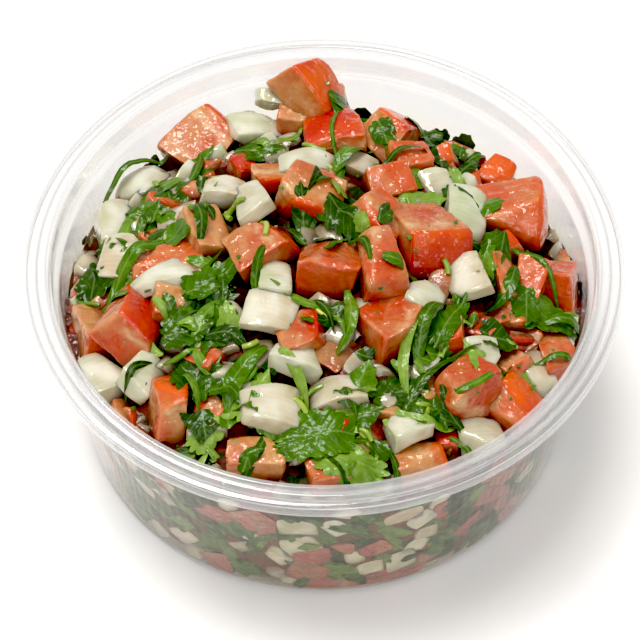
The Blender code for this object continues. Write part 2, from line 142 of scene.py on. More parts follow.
def feed(tree, shader, sockets):
    # Link each value to the shader's socket of that name
    for key, socket in sockets.items():
        tree.links.new(socket, shader.inputs[key])


def addNode(tree, kind, inputs=None, **settings):
    # One node: settings are its properties, inputs are values or the sockets they come from.
    node = tree.nodes.new(kind)
    for key, value in settings.items():
        setattr(node, key, value)
    for key, value in (inputs or {}).items():
        if isinstance(value, bpy.types.NodeSocket):
            tree.links.new(value, node.inputs[key])
        else:
            node.inputs[key].default_value = value
    return node


def mixColour(tree, factor, first, second, how="MIX"):
    # First colour where factor is 0, second where it is 1
    colours = {6: first, 7: second}
    colours = {key: (*c, 1.0) if isinstance(c, tuple) else c for key, c in colours.items()}
    node = addNode(tree, "ShaderNodeMix", {0: factor, **colours}, data_type="RGBA", blend_type=how)
    return node.outputs[2]


def calculate(tree, how, first, second=0.0, third=0.0):
    # One sum on values or sockets; MULTIPLY_ADD is first * second + third
    node = addNode(tree, "ShaderNodeMath", {0: first, 1: second, 2: third}, operation=how)
    return node.outputs[0]


def stretch(tree, value, low, high, start=0.0, end=1.0):
    # Start where value is low, end where it is high, and level outside them
    node = addNode(tree, "ShaderNodeMapRange", {0: value, 1: low, 2: high, 3: start, 4: end})
    return node.outputs[0]


def layOver(tree, base, value, colour, low, high, share=1.0, how="MIX"):
    # One layer of a look: no colour over the base where value is low, and share of it where value is high
    return mixColour(tree, stretch(tree, value, low, high, 0.0, share), base, colour, how)


def objectPlace(tree):
    # Where the point is on the model, in metres
    return addNode(tree, "ShaderNodeTexCoord").outputs["Object"]


def noise(tree, scale, detail=2.0, rough=0.5):
    # Cloudy value from 0 to 1, scale in patches per metre
    inputs = {"Vector": objectPlace(tree), "Scale": scale, "Detail": detail, "Roughness": rough}
    return addNode(tree, "ShaderNodeTexNoise", inputs).outputs[0]


def patterns(tree, settings):
    # One noise for each name, from its patches per metre, detail and roughness
    return {name: noise(tree, *values) for name, values in settings.items()}


def swayed(tree, value, cloud, amount, reach=0.2):
    # The value plus a cloud stretched to swing by the amount to either side
    return calculate(tree, "ADD", value, stretch(tree, cloud, 0.5 - reach, 0.5 + reach, -amount, amount))


def attribute(tree, name):
    # What the mesh stores under that name for each point
    return addNode(tree, "ShaderNodeAttribute", attribute_name=name).outputs["Fac"]


def bump(tree, height, depth, strength=1.0, normal=None):
    # Normal of a relief of height times depth, in mm, over the surface's own or another one
    inputs = {"Height": height, "Distance": depth * mm, "Strength": strength}
    if normal:
        inputs["Normal"] = normal
    return addNode(tree, "ShaderNodeBump", inputs).outputs[0]


# Small helpers for meshes

def cubeGrid(cells, crowd=1.0):
    # Points and triangles on a cube of side 2, cells x cells squares a side. Grid lines crowd to the edges:
    # line = sign(s) (1 - (1 - |s|) ^ crowd), s evenly from -1 to 1.
    s = np.linspace(-1, 1, cells + 1)
    line = np.sign(s) * (1 - (1 - np.abs(s)) ** crowd)
    u, v = np.meshgrid(line, line, indexing="ij")
    corner = (np.arange(cells)[:, None] * (cells + 1) + np.arange(cells)).ravel()
    across, beyond = corner + cells + 1, corner + cells + 2
    square = np.vstack((np.stack((corner, across, beyond), 1), np.stack((corner, beyond, corner + 1), 1)))
    points, faces = [], []
    for axis in range(3):
        for side in (1, -1):
            faces.append(square[:, ::side] + len(points) * u.size)
            points.append(np.roll(np.stack((np.full(u.size, side), u.ravel(), v.ravel()), 1), axis, 1))
    points, number = np.unique(np.vstack(points).round(6), axis=0, return_inverse=True)
    return points, number.reshape(-1)[np.vstack(faces)]


def gridFaces(rows, columns, closed=True):
    # Triangles of a grid of points, row by row; closed joins the last column to the first.
    i, j = np.meshgrid(np.arange(rows - 1), np.arange(columns - (not closed)), indexing="ij")
    a, b = i * columns + j, i * columns + (j + 1) % columns
    c, d = b + columns, a + columns
    return np.concatenate((np.stack((a, b, c), -1).reshape(-1, 3), np.stack((a, c, d), -1).reshape(-1, 3)))


def fanFaces(ring, middle):
    # Triangles from one closed ring of point numbers to its middle point
    ring = np.asarray(ring)
    return np.stack((ring, np.roll(ring, -1), np.full(len(ring), middle)), 1)


def cappedFaces(rows, columns):
    # Triangles of rings of points, one after the other, closed by a fan at each end; the middles of the two
    # fans are the next two points
    last = rows * columns
    return np.vstack((gridFaces(rows, columns), fanFaces(np.arange(columns)[::-1], last),
                      fanFaces(np.arange(last - columns, last), last + 1)))


def outward(points, faces):
    # Faces turned to point out: the volume they close, sum of a . (b x c) / 6, has to be positive.
    a, b, c = points[faces].transpose(1, 0, 2)
    return faces if (a * np.cross(b, c)).sum() > 0 else faces[:, ::-1]


def bumps(points, pitch, phase=0.0):
    # Soft bumps about one pitch apart: the mean of five sines along slanted directions.
    slants = np.array(((1.0, 0.37, 0.21), (-0.43, 1.0, 0.35), (0.29, -0.51, 1.0),
                       (0.70, 0.66, -0.28), (-0.58, 0.31, 0.79)))
    waves = points @ slants.T * (math.tau / pitch) + phase + 1.7 * np.arange(len(slants))
    return np.sin(waves).mean(axis=1)


def turning(turn, lean, roll):
    # Matrix that rolls about X, then leans about Y, then turns about Z, in degrees
    matrix = np.eye(3)
    for angle, (one, two) in ((turn, (0, 1)), (lean, (2, 0)), (roll, (1, 2))):
        c, s = math.cos(math.radians(angle)), math.sin(math.radians(angle))
        step = np.eye(3)
        step[one, one] = step[two, two] = c
        step[one, two], step[two, one] = -s, s
        matrix = matrix @ step
    return matrix


class Batch:
    # All the pieces of one kind, gathered to be one mesh. Each brings points, faces and a value per point
    # for each attribute that its material reads.

    def __init__(self, name, attributes):
        self.name, self.attributes = name, attributes
        self.points, self.faces, self.values, self.count = [], [], [], 0

    def add(self, points, faces, **values):
        self.faces.append(outward(points, faces) + self.count)
        self.points.append(points)
        columns = [np.broadcast_to(values[key], len(points)) for key in self.attributes]
        self.values.append(np.stack(columns, 1))
        self.count += len(points)

    def build(self, material, slot, node):
        points, faces, values = (np.concatenate(part) for part in (self.points, self.faces, self.values))
        mesh = bpy.data.meshes.new(self.name)
        mesh.from_pydata((points * mm).tolist(), [], faces.tolist())
        for key, column in zip(self.attributes, values.T):
            mesh.attributes.new(key, "FLOAT", "POINT").data.foreach_set("value", column.astype(np.float32))
        mesh.shade_smooth()
        mesh.set_sharp_from_angle(angle=math.radians(55))      # edges that turn more than this stay crisp
        mesh.materials.append(material)
        piece = bpy.data.objects.new(self.name, mesh)
        bpy.context.scene.collection.objects.link(piece)
        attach(piece, "root")
        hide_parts(node)
        print(self.name, "made:", len(self.faces), "parts,", len(faces), "triangles")


# The tub

tubSizes = {
    "rimRadius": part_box("tub")[1].x / mm,
    "height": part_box("tub")[1].z / mm,
    "baseRadius": 48.7,        # outside, above the bottom corner
    "shoulderRadius": 52.3,    # outside, where the straight wall ends
    "shoulderHeight": 38.6,
    "cornerRadius": 2.5,
    "wall": 0.7,
    "lipRadius": 52.8,         # inside edge of the mouth
    "beadRadius": 0.95,        # of the rolled bead round the mouth
    "skirtDrop": 3.0,          # how far the rim's outer edge hangs below the mouth
    "flangeDrop": 0.5,         # how far the flat of the rim lies below the mouth
    "sides": 640,              # points round the tub
    "flutes": 160,             # fine upright ribs in the wall
    "fluteDepth": 0.025,
    "fluteSpan": (7.0, 37.0),  # heights between which they show
    "fluteFades": (3.0, 2.0),  # over which they fade out below and above
    "rimFade": 3.0,            # over which the look of the wall turns to the rim's
}


def tubInside(z):
    # Inner radius of the straight wall: a line from the bottom corner to the shoulder
    t = tubSizes
    slope = (t["shoulderRadius"] - t["baseRadius"]) / (t["shoulderHeight"] - t["cornerRadius"])
    return t["baseRadius"] - t["wall"] + slope * (np.minimum(z, t["shoulderHeight"]) - t["cornerRadius"])


def arcPoints(radius, height, size, start, end, steps):
    # Points of a turned profile on an arc: (radius + size cos a, height + size sin a), a in degrees
    a = np.radians(np.linspace(start, end, steps))
    return np.stack((radius + size * np.cos(a), height + size * np.sin(a)), 1)


def tubProfile(t):
    # Radius and height of the section, from the middle of the base round the rim to the floor inside
    top, wall, rim, lip = t["height"], t["wall"], t["rimRadius"], t["lipRadius"]
    corner = t["baseRadius"] - t["cornerRadius"]
    skirt, flange = top - t["skirtDrop"], top - t["flangeDrop"]
    low, high = t["cornerRadius"], t["shoulderHeight"]
    rise = np.linspace(0, 1, 14)[1:, None]
    # base, bottom corner, straight wall, step, flange from below, its edge and the skirt
    outside = [np.array(((0.0, 0.5), (14.0, 0.5), (30.0, 0.45), (42.0, 0.4), (44.0, 0.0)))]
    outside += [arcPoints(corner, low, low, -90, 0, 9)]
    outside += [(1 - rise) * (t["baseRadius"], low) + rise * (t["shoulderRadius"], high)]
    outside += [np.array(((lip + wall - 0.1, high + 0.9), (lip + wall, high + 1.3)))]
    outside += [arcPoints(lip + wall + 0.7, flange - wall - 0.6, 0.6, 180, 90, 4)]
    outside += [arcPoints(rim - wall - 0.5, flange - wall - 0.5, 0.5, 90, 0, 4)]
    outside += [np.array(((rim - wall, skirt + 0.2), (rim - wall + 0.1, skirt), (rim - 0.15, skirt),
                          (rim, skirt + 0.2)))]
    # the skirt's round top, a low ring and the flange from above
    ridge = [arcPoints(rim - 0.6, flange - 0.6, 0.6, 0, 80, 5)]
    ridge += [arcPoints(rim - 1.6, flange - 0.1, 0.42, 100, 150, 4)]
    ridge += [np.array(((lip + 3.1, flange - 0.1), (lip + 2.3, flange - 0.15)))]
    # the mouth's bead, the step, the wall, the corner and the floor from inside
    bead = [arcPoints(lip + 1.05, top - t["beadRadius"], t["beadRadius"], 60, 180, 9)]
    step = [np.array(((lip + 0.05, high + 2.2), (lip - 0.1, high + 1.6))),
            np.array(((tubInside(high) + 0.25, high + 1.0), (tubInside(high), high + 0.5)))]
    fall = rise[::-1]
    inside = [(1 - fall) * (tubInside(low), low) + fall * (tubInside(high), high)]
    inside += [arcPoints(corner, low, low - wall, -4, -90, 7)]
    inside += [np.array(((42.0, wall + 0.45), (30.0, wall + 0.5), (0.0, wall + 0.5)))]
    return np.concatenate(outside + ridge + bead + step + inside)


def buildTub(t):
    # Surface of turning: (r cos a, r sin a, z) for each profile point and angle. The outer wall's radius
    # also has fluteDepth cos(flutes a), faded in and out over the flute span. Rim is 0 up to the span's top
    # and grows to 1 over rimFade.
    profile = tubProfile(t)
    a = np.linspace(0, math.tau, t["sides"], endpoint=False)
    r, z = profile[1:-1, :1], profile[1:-1, 1:]
    low, high = t["fluteSpan"]
    fadeLow, fadeHigh = t["fluteFades"]
    outer = np.arange(len(r))[:, None] < np.argmax(profile[:, 0])
    window = np.clip((z - low) / fadeLow, 0, 1) * np.clip((high - z) / fadeHigh, 0, 1) * outer
    r = r + t["fluteDepth"] * np.cos(t["flutes"] * a) * window
    ring = np.stack((r * np.cos(a), r * np.sin(a), np.broadcast_to(z, r.shape)), -1)
    points = np.vstack((ring.reshape(-1, 3), (0, 0, profile[0, 1]), (0, 0, profile[-1, 1])))
    batch = Batch("clearTub", ("rim",))
    batch.add(points, cappedFaces(*r.shape), rim=np.clip((points[:, 2] - high) / t["rimFade"], 0, 1))
    batch.build(clearPlastic(), "clear_tub", "tub")


plasticLook = {
    "lowTint": (0.97, 0.94, 0.88),     # of what is seen through the wall, low and above the salsa
    "highTint": (0.93, 0.93, 0.935),
    "tintSpan": (26.0, 36.0),  # heights between which one turns to the other
    "milk": (0.66, 0.655, 0.665),
    "white": (0.95, 0.95, 0.96),       # of the painted highlight lines
    # of the painted dark reflection lines
    "darkLineShade": (0.45, 0.45, 0.46),
    "haze": 0.025,             # how milky one surface of the wall is
    "rimHaze": 0.13,           # and one of the rim
    "edge": 0.42,              # how much more where it is seen edge on
    "wallGloss": 0.03,         # share mirrored when seen straight on
    "rimGloss": 0.06,
    "roughness": 0.08,
    "patterns": {"haze": (90.0,), "ripple": (60.0, 1.0)},
    "ripple": (0.25, 0.3),     # depth in mm, strength
    "clouding": (0.3, 0.7, 0.85, 1.15),    # noise from and to, haze from and to
    # radius, half width and strength of the painted highlight lines round the rim, and of the painted dark
    # reflection lines
    "glintLines": ((52.95, 0.22, 0.45), (54.85, 0.18, 0.30), (56.75, 0.25, 0.40), (58.30, 0.22, 0.45)),
    "darkLines": ((54.0, 0.35, 0.25), (55.75, 0.45, 0.35), (57.6, 0.35, 0.35)),
}


def rimLines(tree, radius, lines):
    # Sum of strength * (1 - |radius - line's radius| / half width), nowhere under 0
    total = None
    for middle, half, strength in lines:
        away = calculate(tree, "ABSOLUTE", calculate(tree, "SUBTRACT", radius, middle * mm))
        line = stretch(tree, away, 0.0, half * mm, strength, 0.0)
        total = line if total is None else calculate(tree, "ADD", total, line)
    return total


def clearPlastic():
    # Clear with a milky share, haze + edge * facing ^ 3, under a glossy film that mirrors gloss + facing ^ 5,
    # where facing is 0 seen straight on and 1 seen edge on. What shows through is tinted by height. Painted
    # highlight lines, pale and milky, and painted dark reflection lines, grey, run round the rim.
    material, tree, shader = newMaterial("clearPlastic")
    look = plasticLook
    tree.nodes.remove(shader)
    rim = attribute(tree, "rim")
    facing = addNode(tree, "ShaderNodeLayerWeight", {"Blend": 0.5}).outputs["Facing"]
    pattern = patterns(tree, look["patterns"])
    place = objectPlace(tree)
    flat = addNode(tree, "ShaderNodeVectorMath", {0: place, 1: (1.0, 1.0, 0.0)}, operation="MULTIPLY")
    radius = addNode(tree, "ShaderNodeVectorMath", {0: flat.outputs[0]}, operation="LENGTH").outputs["Value"]
    # painted highlight lines round the rim, milkier and paler
    glintLine = calculate(tree, "MULTIPLY", rimLines(tree, radius, look["glintLines"]), rim)
    # painted dark reflection lines round the rim, where what shows through is greyed
    darkLineShade = calculate(tree, "MULTIPLY", rimLines(tree, radius, look["darkLines"]), rim)
    haze = stretch(tree, rim, 0.0, 1.0, look["haze"], look["rimHaze"])
    haze = calculate(tree, "MULTIPLY", haze, stretch(tree, pattern["haze"], *look["clouding"]))
    milky = calculate(tree, "MULTIPLY_ADD", calculate(tree, "POWER", facing, 3.0), look["edge"], haze)
    milky = calculate(tree, "MAXIMUM", milky, glintLine)
    ripple = bump(tree, pattern["ripple"], *look["ripple"])
    height = addNode(tree, "ShaderNodeSeparateXYZ", {"Vector": place}).outputs["Z"]
    low, high = look["tintSpan"]
    tint = mixColour(tree, stretch(tree, height, low * mm, high * mm), look["lowTint"], look["highTint"])
    tint = mixColour(tree, rim, tint, (1.0, 1.0, 1.0))
    tint = mixColour(tree, darkLineShade, tint, look["darkLineShade"])
    clear = addNode(tree, "ShaderNodeBsdfTransparent", {"Color": tint}).outputs[0]
    colour = mixColour(tree, stretch(tree, glintLine, 0.1, 0.3), look["milk"], look["white"])
    milk = addNode(tree, "ShaderNodeBsdfDiffuse", {"Color": colour, "Normal": ripple}).outputs[0]
    gloss = addNode(tree, "ShaderNodeBsdfGlossy", {"Color": (1.0, 1.0, 1.0, 1.0), "Normal": ripple,
                                                   "Roughness": look["roughness"]}).outputs[0]
    body = addNode(tree, "ShaderNodeMixShader", {0: milky, 1: clear, 2: milk}).outputs[0]
    least = stretch(tree, rim, 0.0, 1.0, look["wallGloss"], look["rimGloss"])
    mirror = calculate(tree, "ADD", calculate(tree, "POWER", facing, 5.0), least)
    finish = addNode(tree, "ShaderNodeMixShader", {0: mirror, 1: body, 2: gloss}).outputs[0]
    tree.links.new(finish, tree.nodes["Material Output"].inputs["Surface"])
    return material


# How the salsa lies in the tub. Each piece is laid with its top at the dome plus its rise, or lower
# where it would float, on a map of what has been laid before it.

heap = {
    "clearance": 0.35,         # between the pieces on top and the tub
    "coreInset": 0.4,          # most that a piece stays back from the wall beyond that
    "top": 46.0,               # level in the middle
    "back": 29.5,              # level against the back of the tub
    "front": 35.0,             # level against the front
    "domePower": 2.8,          # how flat the middle of the dome is
    "cover": 3.2,              # depth of the layer of pieces over the core
    "coverFall": 0.3,          # share of that depth which is missing at the wall
    "ripple": 0.8,             # height of the core's unevenness
    "ripplePitch": (11.4, 13.4),
    "sink": 0.6,               # how deep a piece settles into what it lies on
    "fillMargin": 2.0,         # nearest to the wall that the middle of a small piece comes
    "leafMargin": 2.5,         # and that of a bit of leaf
    "seed": 4,
    "mapStep": 1.0,            # of the map of heights, which reaches mapReach each way
    "mapReach": 54.0,
}


def acrossHeap(x, y):
    # 0 in the middle, 1 at the wall
    return np.minimum(np.hypot(x, y) / tubInside(heap["back"]), 1.0)


def dome(x, y):
    # Level at the wall, from back to front, plus the rest of the way up times 1 - across ^ domePower
    share = 0.5 - 0.5 * y / tubInside(heap["back"])
    atWall = heap["back"] + (heap["front"] - heap["back"]) * share
    return atWall + (heap["top"] - atWall) * (1.0 - acrossHeap(x, y) ** heap["domePower"])


def cover(x, y):
    # Depth of the pieces over the core, thinner at the wall
    return heap["cover"] * (1.0 - heap["coverFall"] * acrossHeap(x, y) ** 4)


def coreLevel(x, y):
    # Dome less the cover, plus ripple sin(tau x / pitch + 1) cos(tau y / pitch)
    pitchX, pitchY = heap["ripplePitch"]
    ripple = np.sin(math.tau * x / pitchX + 1.0) * np.cos(math.tau * y / pitchY)
    return dome(x, y) - cover(x, y) + heap["ripple"] * ripple


class HeightMap:
    # Top of all that has been laid so far, on a square grid of cells

    def __init__(self):
        cells = np.arange(-heap["mapReach"], heap["mapReach"] + heap["mapStep"], heap["mapStep"])
        self.x, self.y = np.meshgrid(cells, cells, indexing="ij")
        self.top = coreLevel(self.x, self.y)
        self.inside = np.hypot(self.x, self.y) < tubInside(heap["back"]) - heap["fillMargin"]

    def cells(self, x, y):
        # Column and row of the cell that each point lies in
        last = len(self.x) - 1
        column = np.clip(np.rint((x + heap["mapReach"]) / heap["mapStep"]), 0, last).astype(int)
        row = np.clip(np.rint((y + heap["mapReach"]) / heap["mapStep"]), 0, last).astype(int)
        return column, row

    def add(self, points, faces, steps=6):
        # Raise the map to the triangles of a piece, sampled by their corner weights
        weights = [(i, j, steps - i - j) for i in range(steps + 1) for j in range(steps + 1 - i)]
        spots = (np.array(weights) / steps @ points[faces]).reshape(-1, 3)
        np.maximum.at(self.top, self.cells(spots[:, 0], spots[:, 1]), spots[:, 2])

    def roomUnder(self, points):
        # How far the lowest third of a piece hangs over the map, on average
        z = points[:, 2]
        low = points[z < z.min() + np.ptp(z) / 3]
        return np.mean(low[:, 2] - self.top[self.cells(low[:, 0], low[:, 1])])

    def smooth(self, passes):
        # Each pass averages a cell with its four neighbours
        level = self.top.copy()
        for _ in range(passes):
            around = np.roll(level, 1, 0) + np.roll(level, -1, 0)
            around += np.roll(level, 1, 1) + np.roll(level, -1, 1)
            level = 0.5 * level + 0.125 * around
        return level

    def barest(self):
        # Middle of the spot where least of the cover over the core has been laid
        bare = (dome(self.x, self.y) - self.smooth(8)) / cover(self.x, self.y)
        place = np.unravel_index(np.argmax(np.where(self.inside, bare, -1.0)), bare.shape)
        return self.x[place], self.y[place]


def levelAt(level, x, y):
    # A map's value at each point, between its four nearest cells
    last = len(level) - 1.001
    column = np.clip((x + heap["mapReach"]) / heap["mapStep"], 0, last)
    row = np.clip((y + heap["mapReach"]) / heap["mapStep"], 0, last)
    i, j = column.astype(int), row.astype(int)
    u, v = column - i, row - j
    left = level[i, j] * (1 - v) + level[i, j + 1] * v
    right = level[i + 1, j] * (1 - v) + level[i + 1, j + 1] * v
    return left * (1 - u) + right * u


def heldInTub(points, gap):
    # Points pulled in towards the tub's axis where they come nearer to the inner wall than the gap
    reach = np.hypot(points[:, 0], points[:, 1])
    scale = np.minimum(1.0, (tubInside(points[:, 2]) - gap) / np.maximum(reach, 1.0))
    return points * np.stack((scale, scale, np.ones_like(scale)), 1)


# Diced tomato and onion

coarseGrids = {cells: cubeGrid(cells) for cells in (1, 2)}
fineGrids = {cells: cubeGrid(cells, 1.7) for cells in (4, 8, 12)}       # squares across a side
sides = {"right": 0, "back": 1, "top": 2, "left": 3, "front": 4, "under": 5}     # in the order of the cuts
knife = {
    "skew": 0.2,               # how far the box sides of a piece lean
    "oddCuts": (0.95, 1.15),   # nearest and farthest odd cut, as a share of the half diagonal
    "crisp": 9.0,              # of the coarse form that pieces are settled by
    "roll": 8.0,               # random roll to either side, in degrees
}


def knifeCuts(half, draw):
    # Planes that bound a piece: six skewed box sides and two odd cuts, as normals and distances
    skew = knife["skew"]
    normals = np.vstack((np.eye(3), -np.eye(3))) + draw.uniform(-skew, skew, (6, 3))
    normals = np.vstack((normals, draw.normal(size=(2, 3))))
    normals /= np.linalg.norm(normals, axis=1)[:, None]
    distance = np.abs(normals * half).max(axis=1)
    distance[6:] = np.linalg.norm(normals[6:] * half, axis=1) * draw.uniform(*knife["oddCuts"], 2)
    return normals, distance


def cutPiece(grid, half, cuts, crisp):
    # Distance to the surface along each direction d: (sum of (d . normal / distance) ^ crisp) ^ (-1 / crisp),
    # so a high power leaves flat sides with narrow rounded edges. Edge is 1 where the two nearest planes are
    # as near as each other, and falls with the sixth power of how their nearness compares.
    directions = grid * half
    directions /= np.linalg.norm(directions, axis=1)[:, None]
    share = np.maximum(directions @ cuts[0].T / cuts[1], 0.0)
    second, first = np.sort(share, axis=1)[:, -2:].T
    return directions * ((share ** crisp).sum(axis=1) ** (-1.0 / crisp))[:, None], (second / first) ** 6


tomatoDice = {
    "coarse": 2,               # squares across a side of the form that a die is settled by
    "fine": 12,                # and of the one that shows
    "crisp": 32.0,             # power that sets how narrow the rounded edges are
    "skinBulge": 0.022,        # the skin side's curve: half of 1 / the tomato's radius
    "relief": 0.24,            # height of the bumps on cut flesh
    "reliefPitches": (4.0, 1.9),
    "fleshDepths": (2.5, 5.0),     # how far under the skin the nearest side of a piece without skin was cut
    # middle x and y, rise, length, width, height, turn, lean, roll, side with skin, ripeness from 0 to 1
    "rows": (
        (-2.0, 44.0, 5.0, 14, 10, 9, 0, 0, 0, "", 0.35),
        (-3.0, 46.5, 15.5, 10, 9, 11, -8, -40, -38, "right", 0.12),
        (-24.5, 39.5, 5.5, 14, 12, 9, 42, -18, 11, "right", 0.45),
        (2.0, 36.0, 3.0, 12, 11, 10, 8, 0, -14, "top", 0.60),
        (13.5, 37.5, 6.0, 9, 9, 10, 45, -36, 16, "right", 0.30),
        (17.0, 29.0, 2.0, 8, 7, 6, 10, 8, 0, "", 0.80),
        (35.0, 31.0, 1.5, 7, 9, 8, -25, 10, 0, "top", 0.15),
        (-2.5, 15.5, 3.0, 13, 10, 9, -18, 6, -14, "front", 0.40),
        (-10.5, 22.0, 1.0, 8, 7, 6, 20, 5, -10, "front", 0.20),
        (13.0, 20.5, 1.0, 9, 7, 7, 15, 0, 0, "", 0.75),
        (10.0, 9.5, 3.0, 11, 9, 9, -38, 14, -10, "front", 0.45),
        (20.5, 5.0, 4.5, 12, 12, 11, 20, 10, -34, "front", 0.60),
        (37.5, 17.5, 4.5, 15, 12, 10, -8, -14, -6, "right", 0.30),
        (-23.5, 8.0, 1.0, 8, 11, 7, 15, 10, 0, "", 0.10),
        (-12.0, 3.0, 3.0, 12, 10, 9, 32, -16, -6, "right", 0.75),
        (1.0, -2.0, 3.5, 12, 12, 11, -14, 6, -12, "", 0.70),
        (11.0, -3.0, 4.5, 8, 15, 8, 17, 8, 4, "", 0.65),
        (13.5, -15.0, 2.5, 13, 11, 9, 38, 12, -10, "", 0.80),
        (24.0, -15.5, 0.5, 7, 9, 8, 12, -10, -10, "front", 0.15),
        (-4.0, -17.0, 1.5, 9, 10, 8, 20, -14, -10, "right", 0.85),
        (-31.0, 2.0, 1.0, 14, 8, 6, 8, 0, -8, "", 0.10),
        (-29.0, -8.5, 1.0, 9, 8, 7, 5, 10, -6, "", 0.50),
        (-44.5, -9.0, 1.5, 8, 14, 9, 12, 10, -12, "front", 0.10),
        (-36.5, -12.0, 5.5, 10, 12, 13, 8, -46, -34, "right", 0.75),
        (-29.5, -29.5, 3.5, 7, 12, 11, 6, 4, -18, "top", 0.20),
        (-12.5, -41.0, 0.5, 11, 8, 8, -15, 0, -8, "", 0.30),
        (3.0, -44.0, 0.0, 13, 7, 8, 8, 0, -6, "", 0.50),
        (18.0, -42.0, 0.5, 11, 7, 8, 14, 0, -8, "right", 0.25),
        (26.5, -28.0, 3.5, 11, 10, 10, 38, 6, -16, "", 0.90),
        (36.5, -28.5, 3.0, 12, 10, 9, -40, 18, -12, "top", 0.20),
        (35.5, 0.0, 1.0, 5, 11, 8, 5, 10, 0, "right", 0.30),
        (40.5, -1.0, 1.0, 6, 11, 7, -15, 0, 0, "", 0.35),
        (46.5, 2.5, 4.0, 8, 12, 11, -8, -6, -20, "back", 1.00),
        (45.5, -15.0, 1.0, 7, 10, 8, 18, 6, -8, "", 0.20),
    ),
}
onionDice = {
    "coarse": 1,
    "fine": 12,
    "crisp": 46.0,
    "layer": 3.6,              # thickness of one layer, and of the smaller dice
    "bend": 0.045,             # how a layer curves: half of 1 / its radius
    "relief": 0.06,
    "reliefPitch": 5.0,
    "grainWave": (0.15, 9.0),  # height and pitch of the waves in its grain
    "tapers": (0.12, 0.7),     # how much narrower a piece and a long slice get towards their ends
    "longFrom": 2.4,           # length over width from which a piece is a long slice
    # middle x and y, rise, length, width, height, turn, lean, roll
    "rows": (
        (-15.5, 46.0, 8.0, 6, 10, 3.4, 10, 75, 0),
        (-9.5, 46.5, 9.0, 5, 9, 3.2, 80, 70, 0),
        (-14.0, 40.0, 4.0, 11, 7, 4.0, 8, 16, -14),
        (-3.0, 26.0, 2.5, 12, 7, 4.2, 4, 10, -16),
        (-19.0, 19.0, 2.0, 10, 7, 4.4, -12, 12, -10),
        (-14.0, 14.0, 3.0, 7, 10, 4.0, 20, -14, -8),
        (28.0, 13.5, 3.0, 8, 12, 4.4, -12, 24, -10),
        (28.0, -3.5, 3.5, 8, 10, 3.6, 8, -14, -14),
        (19.5, -9.5, 1.5, 8, 8, 3.6, -25, 12, -8),
        (-41.0, 17.0, 2.0, 9, 11, 4.4, 12, 14, -8),
        (-39.5, 5.0, 1.0, 9, 10, 4.2, -15, -10, 0),
        (-36.5, 29.0, 2.0, 10, 7, 4.2, 35, 10, 0),
        (-29.5, -3.0, 4.5, 17, 5.5, 3.4, 3, 6, -20),
        (-9.5, -5.5, 1.5, 6, 10, 4.0, 5, 12, -10),
        (-10.5, -14.0, 3.0, 10, 8, 4.0, -14, 8, -14),
        (-5.0, -24.0, 2.5, 10, 6, 4.2, -18, 10, -16),
        (2.5, -30.0, 3.0, 12, 6, 3.8, 14, -10, -16),
        (-10.0, -32.5, 2.0, 12, 10, 4.2, -8, 12, -10),
        (-42.5, -21.0, 1.0, 8, 10, 4.4, 30, 0, 0),
        (-34.5, -23.0, 2.0, 7, 8, 4.0, -25, 14, -10),
        (15.5, -36.0, 2.0, 8, 8, 4.4, 30, 10, -14),
        (30.0, -36.5, 2.0, 9, 7, 4.6, 20, 8, -10),
        (40.5, -19.5, 3.5, 15, 6, 3.8, -48, 10, -16),
        (30.0, -19.5, 1.0, 7, 6, 4.2, 10, 6, 0),
    ),
}
fillDice = {
    "fine": 8,
    "count": 46,
    "sizes": (5.0, 8.5),       # shortest and longest side
    "heights": (5.0, 7.0),     # of tomato; onion has the thickness of its layer
    "rises": (-2.5, 0.0),      # of the top, from the dome
    "tilt": 25.0,              # most lean and roll to either side
}
crumbs = {
    "fine": 4,
    "count": 130,
    "atWall": 54,              # as many more in a ring along the wall
    "ringMargin": 2.4,         # from the wall to the middle of the ring
    "jitter": 0.3,             # most that one is off its place in the ring, as a share of the spacing
    "sizes": (3.2, 6.6),
    "flatness": 0.7,           # height as a share of the size drawn
    "rises": (-3.2, -1.0),
    "tilt": 40.0,
    "tomatoShare": 0.5,
}
tomatoes = Batch("tomatoDice", ("depth", "ripe", "gel", "up", "buried", "edge"))
tomatoesAtWall = Batch("tomatoAtWall", tomatoes.attributes)
onions = Batch("onionDice", ("grain", "tint", "up", "buried", "edge"))
onionsAtWall = Batch("onionAtWall", onions.attributes)


def upPiece(points):
    # 0 at the foot of a piece, 1 at its top
    z = points[:, 2]
    return (z - z.min()) / np.ptp(z)


def buriedDepth(points):
    # 0 at the dome or over it, 1 as far below it as the cover is deep
    return np.maximum((dome(points[:, 0], points[:, 1]) - points[:, 2]) / heap["cover"], 0.0)


def shapeTomato(grid, half, cuts, skinSide, draw, crisp):
    # A cut piece with soft bumps, faint at the skin. Depth is how far each point lies under the skin's plane,
    # and the skin side bulges: points there sink by skinBulge times their distance from its middle, squared.
    points, edge = cutPiece(grid, half, cuts, crisp)
    if skinSide:
        normal, distance = cuts[0][sides[skinSide]], cuts[1][sides[skinSide]]
        depth = distance - points @ normal
        flat = points - np.outer(points @ normal, normal)
        near = np.clip(1.0 - depth / distance, 0, 1)
        points = points - np.outer(tomatoDice["skinBulge"] * (flat ** 2).sum(1) * near, normal)
    else:
        normal = cuts[0][7]
        depth = draw.uniform(*tomatoDice["fleshDepths"]) + half.min() - points @ normal
    phase = draw.uniform(0, 99)
    coarse, fine = tomatoDice["reliefPitches"]
    relief = bumps(points, coarse, phase) + 0.6 * bumps(points, fine, phase)
    relief *= tomatoDice["relief"] * np.clip(depth / 1.5, 0.1, 1)
    return points * (1 + relief / np.linalg.norm(points, axis=1))[:, None], depth, edge


